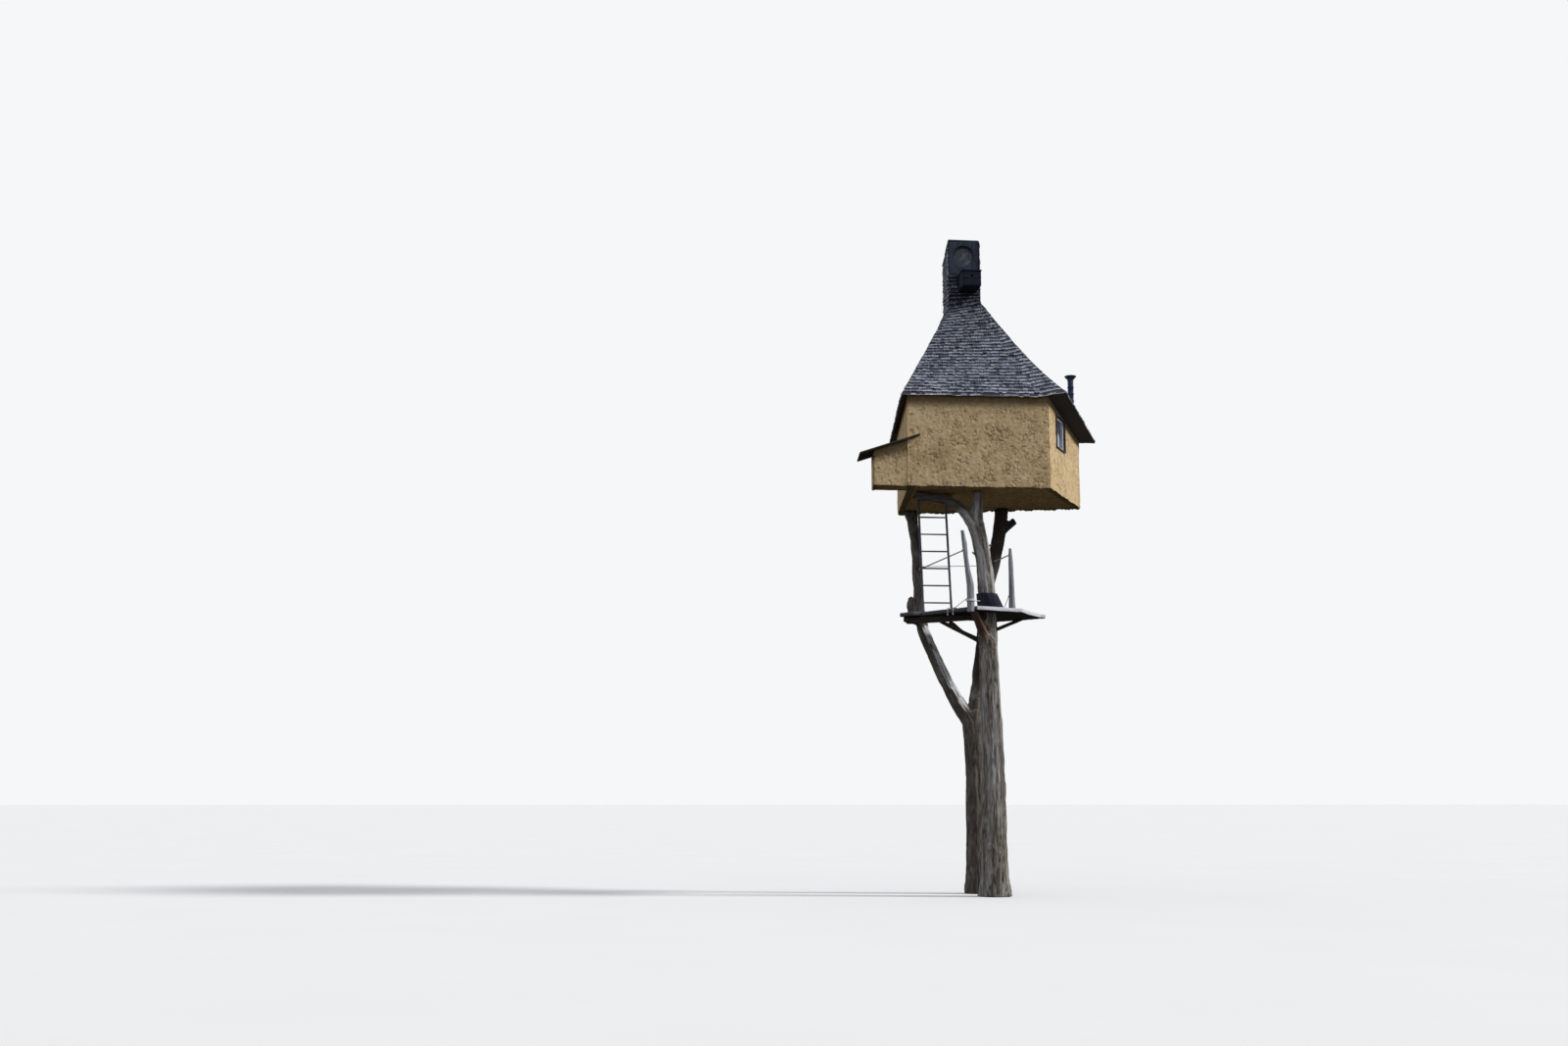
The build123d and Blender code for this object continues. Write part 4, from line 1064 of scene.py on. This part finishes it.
def window_plug():
    """A block through the right wall where its window stands."""
    along, normal, middle, size, _ = window_measure()
    bm = bmesh.new()
    turn = Matrix((along, normal, UP)).transposed().to_4x4()
    scale = Matrix.Diagonal((size[0] - 0.004, 0.6, size[2] - 0.004, 1))
    bmesh.ops.create_cube(bm, size=1, matrix=Matrix.Translation(middle) @ turn @ scale)
    bmesh.ops.recalc_face_normals(bm, faces=bm.faces)
    return bm


class TREEHOUSE_OT_walls(bpy.types.Operator):
    """Plaster the cabin's walls and the bay's walls by hand"""

    bl_idname = "treehouse.walls"
    bl_label = "Plastered walls"

    def execute(self, context):
        settings = context.scene.tree_house_plaster
        # Without a seed the vector noise of the lumps starts from the clock
        noise.seed_set(settings.seed)
        plaster_wall("front_wall_plaster", "front_wall", settings, (False, True))
        plaster_wall("right_wall_plaster", "right_wall", settings, (True, True), window_plug())
        plaster_wall("rear_wall_plaster", "rear_wall", settings, coarse=1.3, hang=2.2)
        plaster_wall("left_wall_plaster", "left_wall", settings, (True, False), coarse=1.15)
        plaster_wall("bay_front_plaster", "leanto_front_wall", settings, (True, False))
        plaster_wall("bay_end_plaster", "leanto_end_wall", settings)
        plaster_wall("bay_rear_plaster", "leanto_rear_wall", settings, (False, True))
        # The floors' undersides take the darker copy of the plaster as painted shade
        for node in ("cabin_floor", "leanto_floor"):
            finish_node(node, "shaded_plaster")
        return {"FINISHED"}


def line_point(line, up):
    """The point of a line at a share of its height, and beyond its ends in line with them."""
    steps = len(line) - 1
    step = clamp(int(up * steps), 0, steps - 1)
    return line[step].lerp(line[step + 1], up * steps - step)


class Courses:
    """Lays rows of shakes over one side, given by lines from its foot to its head, left to right."""

    def __init__(self, lines, outward, settings, seed, tones, node=None):
        self.lines = lines
        self.tones = tones
        self.settings = settings
        self.random = random.Random(seed)
        self.along = UP.cross(outward)
        self.skin = None
        if node:
            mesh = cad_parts[node].data
            self.skin = BVHTree.FromPolygons([v.co for v in mesh.vertices], [p.vertices for p in mesh.polygons])
        self.bm = bmesh.new()
        self.grain = self.bm.verts.layers.float_vector.new("grain")
        self.tint = self.bm.verts.layers.float.new("tint")
        self.worn = self.bm.verts.layers.float.new("worn")

    def place(self, run, up):
        """Point of the side at a distance along it on a course."""
        points = [line_point(line, up) for line in self.lines]
        runs = [p.dot(self.along) for p in points]
        step = 0
        while step < len(points) - 2 and run > runs[step + 1]:
            step += 1
        share = (run - runs[step]) / max(runs[step + 1] - runs[step], 0.001)
        point = points[step].lerp(points[step + 1], share)
        # Where the boards swell past the lines between the hips, the shakes lie on the boards
        hit = self.skin.ray_cast(Vector((point.x, point.y, RAY_FROM)), -UP)[0] if self.skin else None
        if hit is not None and 0 < hit.z - point.z < 0.3:
            point.z = hit.z
        return point

    def reach(self, up):
        """Distances along a course where the side ends."""
        return line_point(self.lines[0], up).dot(self.along), line_point(self.lines[-1], up).dot(self.along)

    def shake(self, feet, heads, up, head, number):
        """One shake between two distances at its butt and two at its head."""
        settings = self.settings
        drop = self.random.uniform(-0.5, 0.5) * settings.jitter
        slant = self.random.uniform(-0.2, 0.2) * settings.jitter
        thick = settings.thick * self.random.uniform(0.6, 1.7)
        share = clamp(up)
        mean = self.tones[0] * (1 - share) + self.tones[1] * share
        tone = clamp(mean + self.random.uniform(-0.4, 0.4))
        worn = self.random.random() ** 1.2 * min(mean * 1.8, 1)
        corners = []
        places = ((feet[0], up, drop - slant), (feet[1], up, drop + slant), (heads[1], head, 0), (heads[0], head, 0))
        for run, level, shift in places:
            here = self.place(run, level)
            rise = self.place(run, level + 0.02) - self.place(run, level - 0.02)
            level_way = self.place(run + 0.02, level) - self.place(run - 0.02, level)
            corners.append((here + rise.normalized() * shift, level_way.cross(rise).normalized()))
        for vert in bmesh.ops.create_cube(self.bm, size=1)["verts"]:
            x, y, z = vert.co
            corner = (0 if x < 0 else 1) if y < 0 else (3 if x < 0 else 2)
            here, normal = corners[corner]
            if y < 0:
                height = (0.005 + thick) if z > 0 else 0.003
            else:
                height = 0.001 if z > 0 else -0.008
            vert.co = here + normal * height
            vert[self.grain] = Vector((x * 0.09 + number * 0.13, (y + 0.5) * 0.14, number * 0.37))
            vert[self.tint] = tone
            vert[self.worn] = worn

    def lay(self, first_up=0.0, last_up=1.0, overrun=(True, True)):
        """Lays all courses from one share of the height to another."""
        settings = self.settings
        past_left, past_right = [settings.overrun * share for share in overrun]
        number = 0
        up = first_up
        while up < last_up:
            left, right = self.reach(up)
            middle = (left + right) / 2
            per_share = (self.place(middle, up + 0.01) - self.place(middle, up - 0.01)).length / 0.02
            step = settings.exposure / per_share
            top = min(up + step * 2.1, max(last_up, up + step))
            head_left, head_right = self.reach(top)
            low = head_left - past_left
            high = head_right + past_right
            run = left - past_left * self.random.uniform(0.4, 1.2)
            last = right + past_right * self.random.uniform(0.4, 1.2)
            while run < last - 0.004:
                end = run + self.random.uniform(settings.narrow, settings.wide)
                if last - end < settings.narrow * 0.6:
                    end = last
                gap = self.random.uniform(0.001, 0.003)
                heads = (clamp(run, low, high - 0.012), max(min(end - gap, high), low + 0.012))
                self.shake((run, end - gap), heads, up, top, number)
                number += 1
                run = end
            up += step
        return self.bm


def flat(point):
    """A point's place in plan."""
    return Vector((point.x, point.y, 0))


def hip_ends(nodes, centre):
    """The turret's corner and the eave's corner of the hip at which two slopes meet."""
    sets = [{tuple(round(c, 3) for c in v.co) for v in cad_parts[node].data.vertices} for node in nodes]
    points = [Vector(p) for p in sets[0] & sets[1]]
    top = max(p.z for p in points)
    curb = max((p for p in points if p.z > top - 0.03), key=lambda p: (flat(p) - centre).length)
    return curb, max(points, key=lambda p: (flat(p) - centre).length)


def section_line(tree, curb, eave):
    """The roof's outer line from an eave up to the curb, at 44 even steps of height."""
    samples = []
    centre_ward = (flat(curb) - flat(eave)).normalized()
    for number in range(121):
        place = curb.lerp(eave, 1 - number / 120)
        for shift in (0, 1, -1, 2, -2):
            nudged = place + centre_ward.cross(UP) * shift * 0.001
            hit = tree.ray_cast(Vector((nudged.x, nudged.y, RAY_FROM)), -UP)[0]
            if hit is not None:
                samples.append(Vector((place.x, place.y, hit.z)))
                break
    samples[0] = eave.copy()
    samples[-1] = curb.copy()
    line = []
    for number in range(45):
        level = eave.z + (curb.z - eave.z) * number / 44
        before, after = next(
            (pair for pair in zip(samples, samples[1:]) if pair[1].z >= level - 0.00001),
            (samples[-2], samples[-1]),
        )
        line.append(before.lerp(after, clamp((level - before.z) / max(after.z - before.z, 0.00001))))
    return line


def roof_lines():
    """Lines of each slope from eave to curb, left to right as seen from outside."""
    slopes = [f"roof_{side}_slope" for side in ("front", "right", "rear", "left")]
    roof = bmesh.new()
    for node in slopes:
        roof.from_mesh(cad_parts[node].data)
    tree = BVHTree.FromBMesh(roof)
    roof.free()
    low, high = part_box("turret_lid")
    centre = flat((low + high) / 2)
    hips = [section_line(tree, *hip_ends((slopes[n - 1], slopes[n]), centre)) for n in range(4)]
    # The front slope has a third line, where its eave starts to rise to the corner
    corners = [hips[0][0], hips[1][0], hips[0][-1], hips[1][-1]]
    points = [v.co.copy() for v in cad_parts[slopes[0]].data.vertices]
    front = min(p.y for p in points) + TOUCH
    between = [p for p in points if p.y < front and min((p - c).length for c in corners) > 0.05]
    eave = max(between, key=lambda p: p.x)
    share = (eave.x - corners[0].x) / (corners[1].x - corners[0].x)
    kick = section_line(tree, corners[2].lerp(corners[3], share), eave)
    return {
        "front": [hips[0], kick, hips[1]],
        "right": [hips[1], hips[2]],
        "rear": [hips[2], hips[3]],
        "left": [hips[3], hips[0]],
    }


class TREEHOUSE_OT_roof(bpy.types.Operator):
    """Lay the roof's shakes in courses over its boards"""

    bl_idname = "treehouse.roof"
    bl_label = "Roof"

    def execute(self, context):
        settings = context.scene.tree_house_shakes
        # Brightness of the shakes at the eave and at the turret: painted shade darkens every slope towards the
        # turret
        tones = {"front": (0.55, 0.3), "right": (0.45, 0.3), "rear": (0.55, 0.3), "left": (0.5, 0.25)}
        for number, (side, lines) in enumerate(roof_lines().items()):
            node = f"roof_{side}_slope"
            courses = Courses(
                lines, outer_normal(f"{side}_wall"), settings, settings.seed + number, tones[side], node
            )
            length = (lines[0][0] - lines[0][1]).length * (len(lines[0]) - 1)
            bm = courses.lay(first_up=-settings.eave_drop / length, last_up=0.995)
            add_piece(bm, f"{side}_slope_shakes", "weathered_shakes", smooth=False)
            finish_node(node, "roof_boards")
        return {"FINISHED"}


def edge_line(x, y, low, high):
    """A straight upright edge as a line of two points."""
    return [Vector((x, y, low)), Vector((x, y, high))]


def board_piece(name, node, grain, joints, cell, material):
    """Boards nailed side by side: a skin of a node with a groove at each joint across one direction."""
    direction, places = joints
    grained = timber_relief(0.004)

    def relief(place, point):
        near = min((abs(point.dot(direction) - at) for at in places), default=1)
        return grained(place, point) - 0.006 * max(0, 1 - near / (cell * 1.2))

    bm = even_skin(node, cell)
    weather(bm, straight_grain(grain), relief, 1)
    add_piece(bm, name, material, [node])


class TREEHOUSE_OT_turret(bpy.types.Operator):
    """Hang the turret's shakes and finish its boards, lid and round window"""

    bl_idname = "treehouse.turret"
    bl_label = "Turret"

    def execute(self, context):
        settings = context.scene.tree_house_shakes
        timber = context.scene.tree_house_timber
        lines = roof_lines()
        front_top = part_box("turret_front")[1].z
        low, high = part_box("turret_lid")
        # Corners from the front left on, each with the level of the curb
        corners = [
            (low.x, low.y, lines["front"][0][-1].z),
            (high.x, low.y, lines["front"][-1][-1].z),
            (high.x, high.y, lines["right"][-1][-1].z),
            (low.x, high.y, lines["rear"][-1][-1].z),
        ]
        # The lid's underside falls from the front's top to the rear
        rear_top = front_top - ((high.z - low.z) - timber.lid_thickness)
        edges = [edge_line(*c, front_top if c[1] == low.y else rear_top) for c in corners]
        jobs = (
            ("turret_left_shakes", -RIGHT, [edges[3], edges[0]]),
            ("turret_right_shakes", RIGHT, [edges[1], edges[2]]),
            ("turret_rear_shakes", Vector((0, 1, 0)), [edges[2], edges[3]]),
        )
        for number, (name, outward, sides) in enumerate(jobs):
            courses = Courses(sides, outward, settings, settings.seed + 20 + number, (0.75, 0.75))
            add_piece(courses.lay(last_up=0.96), name, "weathered_shakes", smooth=False)
        # On the front the shakes end below the round window, and leave room for the bird box
        box_low, box_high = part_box("nest_box")
        skirt = (low.y, box_low.z, box_high.z + 0.03)
        left, box_left, box_right, right = (edge_line(x, *skirt) for x in (low.x, box_low.x, box_high.x, high.x))
        below = [edge_line(*c, box_low.z) for c in corners[:2]]
        fields = (
            ("turret_front_shakes", below, (1, 1)),
            ("turret_front_left_shakes", [left, box_left], (1, 0)),
            ("turret_front_right_shakes", [box_right, right], (0, 1)),
        )
        for number, (name, sides, overrun) in enumerate(fields):
            front = Vector((0, -1, 0))
            courses = Courses(sides, front, settings, settings.seed + 30 + number, (0.1, 0.05))
            add_piece(courses.lay(last_up=0.97, overrun=overrun), name, "weathered_shakes", smooth=False)
        for node in ("turret_left", "turret_right", "turret_rear"):
            finish_node(node, "roof_boards")
        joints = (RIGHT, [low.x + (high.x - low.x) * share for share in (0.27, 0.5, 0.76)])
        cell = timber.board_cell
        board_piece("turret_front_boards", "turret_front", UP, joints, cell, "stained_board")
        board_piece("turret_lid_boards", "turret_lid", RIGHT, (UP, []), cell, "stained_board")
        finish_node("porthole_frame", "porthole_paint")
        finish_node("porthole_glass", "porthole_pane")
        return {"FINISHED"}


class TREEHOUSE_OT_bird_box(bpy.types.Operator):
    """Board the bird box and its lid"""

    bl_idname = "treehouse.bird_box"
    bl_label = "Bird box"

    def execute(self, context):
        low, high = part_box("nest_box")
        joints = (UP, [low.z + (high.z - low.z) * 0.45])
        cell = context.scene.tree_house_timber.box_cell
        board_piece("bird_box_boards", "nest_box", RIGHT, joints, cell, "bird_box_board")
        board_piece("bird_box_lid", "nest_box_lid", RIGHT, (UP, []), cell, "bird_box_board")
        return {"FINISHED"}


def window_ring(place, size, border, front, depth):
    """A mitred frame of four bars: a plate inset to a ring and extruded to its depth."""
    bm = bmesh.new()
    grid = bmesh.ops.create_grid(bm, x_segments=1, y_segments=1, size=0.5)["verts"]
    for vert in grid:
        vert.co = Vector((vert.co.x * size[0], vert.co.y * size[1], front))
    face = grid[0].link_faces[0]
    bmesh.ops.inset_individual(bm, faces=[face], thickness=border)
    ring = linked(grid, "faces")
    bmesh.ops.delete(bm, geom=[face], context="FACES")
    pushed = bmesh.ops.extrude_face_region(bm, geom=ring)["geom"]
    moved = [g for g in pushed if isinstance(g, bmesh.types.BMVert)]
    bmesh.ops.translate(bm, verts=moved, vec=(0, 0, -depth))
    edges = linked([v for f in ring for v in f.verts] + moved, "edges")
    bmesh.ops.bevel(bm, geom=edges, offset=0.003, segments=2, profile=0.5, affect="EDGES", material=-1)
    bmesh.ops.recalc_face_normals(bm, faces=bm.faces)
    bmesh.ops.transform(bm, matrix=place, verts=bm.verts)
    return bm


class TREEHOUSE_OT_window(bpy.types.Operator):
    """Frame the window with its dark casing and white sash"""

    bl_idname = "treehouse.window"
    bl_label = "Window"

    def execute(self, context):
        fitting = context.scene.tree_house_fitting
        along, normal, middle, size, face = window_measure()
        turn = Matrix((along, UP, normal)).transposed().to_4x4()
        place = Matrix.Translation(middle - normal * middle.dot(normal)) @ turn
        casing = window_ring(place, (size[0], size[2]), fitting.casing_width, face, size[1])
        add_piece(casing, "window_casing", "oiled_casing", ["window_frame"], smooth=False)
        inner = [size[0] - fitting.casing_width * 2, size[2] - fitting.casing_width * 2]
        set_back = fitting.casing_proud + fitting.sash_set_back
        sash = window_ring(place, inner, fitting.sash_width, face - set_back, fitting.sash_depth)
        add_piece(sash, "window_sash", "white_paint", smooth=False)
        finish_node("window_glass", "window_glass")
        return {"FINISHED"}


class TREEHOUSE_OT_bay_roof(bpy.types.Operator):
    """Weather the boards of the bay's roof"""

    bl_idname = "treehouse.bay_roof"
    bl_label = "Bay roof"

    def execute(self, context):
        cell = context.scene.tree_house_timber.roof_cell
        timber_piece("bay_roof_boards", "leanto_roof", Vector((0.95, 0, 0.31)), cell, 0.005, "dark_beam")
        return {"FINISHED"}


def round_measure(node):
    """Centre of a round node's foot, its radius and its height."""
    low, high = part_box(node)
    centre = (low + high) / 2
    centre.z = low.z
    return centre, (high.x - low.x) / 2, high.z - low.z


def turned(centre, profile):
    """A closed turned form from a profile of radius and level that starts and ends on its axis."""
    bm = bmesh.new()
    points = [bm.verts.new(centre + Vector((radius, 0, level))) for radius, level in profile]
    edges = [bm.edges.new(pair) for pair in zip(points, points[1:])]
    bmesh.ops.spin(bm, geom=points + edges, cent=centre, axis=UP, angle=2 * math.pi, steps=28, use_merge=True)
    bmesh.ops.remove_doubles(bm, verts=bm.verts, dist=0.0001)
    bmesh.ops.recalc_face_normals(bm, faces=bm.faces)
    return bm


class TREEHOUSE_OT_stove_pipe(bpy.types.Operator):
    """Turn the stove pipe with its beaded joints, and its flared cap"""

    bl_idname = "treehouse.stove_pipe"
    bl_label = "Stove pipe"

    def execute(self, context):
        spacing = context.scene.tree_house_fitting.bead_spacing
        centre, radius, tall = round_measure("stove_pipe")
        joints = []
        level = tall
        while level > spacing:
            level -= spacing
            joints.append(level)
        # A bead swells at each joint, and the next length starts a little slimmer
        bead = ((0, -0.016), (0.007, -0.01), (0.007, 0), (-0.004, 0.006), (-0.002, 0.03))
        beads = [(radius + out, joint + up) for joint in reversed(joints) for out, up in bead]
        profile = [(0, 0), (radius, 0), *beads, (radius, tall), (0, tall)]
        add_piece(turned(centre, profile), "stove_pipe_joints", "stove_paint", ["stove_pipe"])
        centre, wide, tall = round_measure("stove_pipe_cap")
        profile = [
            (0, 0), (radius + 0.006, 0), (radius + 0.008, 0.012), (radius + 0.02, 0.022),
            (wide - 0.004, tall - 0.018), (wide, tall - 0.012), (wide, tall - 0.004),
            (wide - 0.008, tall), (0, tall - 0.006),
        ]
        add_piece(turned(centre, profile), "stove_pipe_flare", "stove_paint", ["stove_pipe_cap"])
        return {"FINISHED"}


class TREEHOUSE_PT_panel(bpy.types.Panel):
    """Steps that dress the tree house"""

    bl_label = "Tree House"
    bl_idname = "TREEHOUSE_PT_panel"
    bl_space_type = "VIEW_3D"
    bl_region_type = "UI"
    bl_category = "Tree House"

    def draw(self, context):
        column = self.layout.column()
        for operator in OPERATORS:
            column.operator(operator.bl_idname)


SETTINGS = {
    "tree_house_stage": StageSettings,
    "tree_house_plaster": PlasterSettings,
    "tree_house_shakes": ShakeSettings,
    "tree_house_bark": BarkSettings,
    "tree_house_timber": TimberSettings,
    "tree_house_fitting": FittingSettings,
}
OPERATORS = [
    TREEHOUSE_OT_stage,
    TREEHOUSE_OT_trunks,
    TREEHOUSE_OT_deck,
    TREEHOUSE_OT_rails,
    TREEHOUSE_OT_ladder,
    TREEHOUSE_OT_walls,
    TREEHOUSE_OT_roof,
    TREEHOUSE_OT_turret,
    TREEHOUSE_OT_bird_box,
    TREEHOUSE_OT_window,
    TREEHOUSE_OT_bay_roof,
    TREEHOUSE_OT_stove_pipe,
]


def register():
    """Registers the settings, the steps and the panel."""
    for name, group in SETTINGS.items():
        bpy.utils.register_class(group)
        setattr(bpy.types.Scene, name, PointerProperty(type=group))
    for operator in OPERATORS:
        bpy.utils.register_class(operator)
    bpy.utils.register_class(TREEHOUSE_PT_panel)


def unregister():
    """Takes back what register added."""
    bpy.utils.unregister_class(TREEHOUSE_PT_panel)
    for operator in reversed(OPERATORS):
        bpy.utils.unregister_class(operator)
    for name, group in reversed(SETTINGS.items()):
        delattr(bpy.types.Scene, name)
        bpy.utils.unregister_class(group)


def main():
    """Runs every step in order."""
    register()
    for operator in OPERATORS:
        group, name = operator.bl_idname.split(".")
        getattr(getattr(bpy.ops, group), name)()


if __name__ == "__main__":
    main()
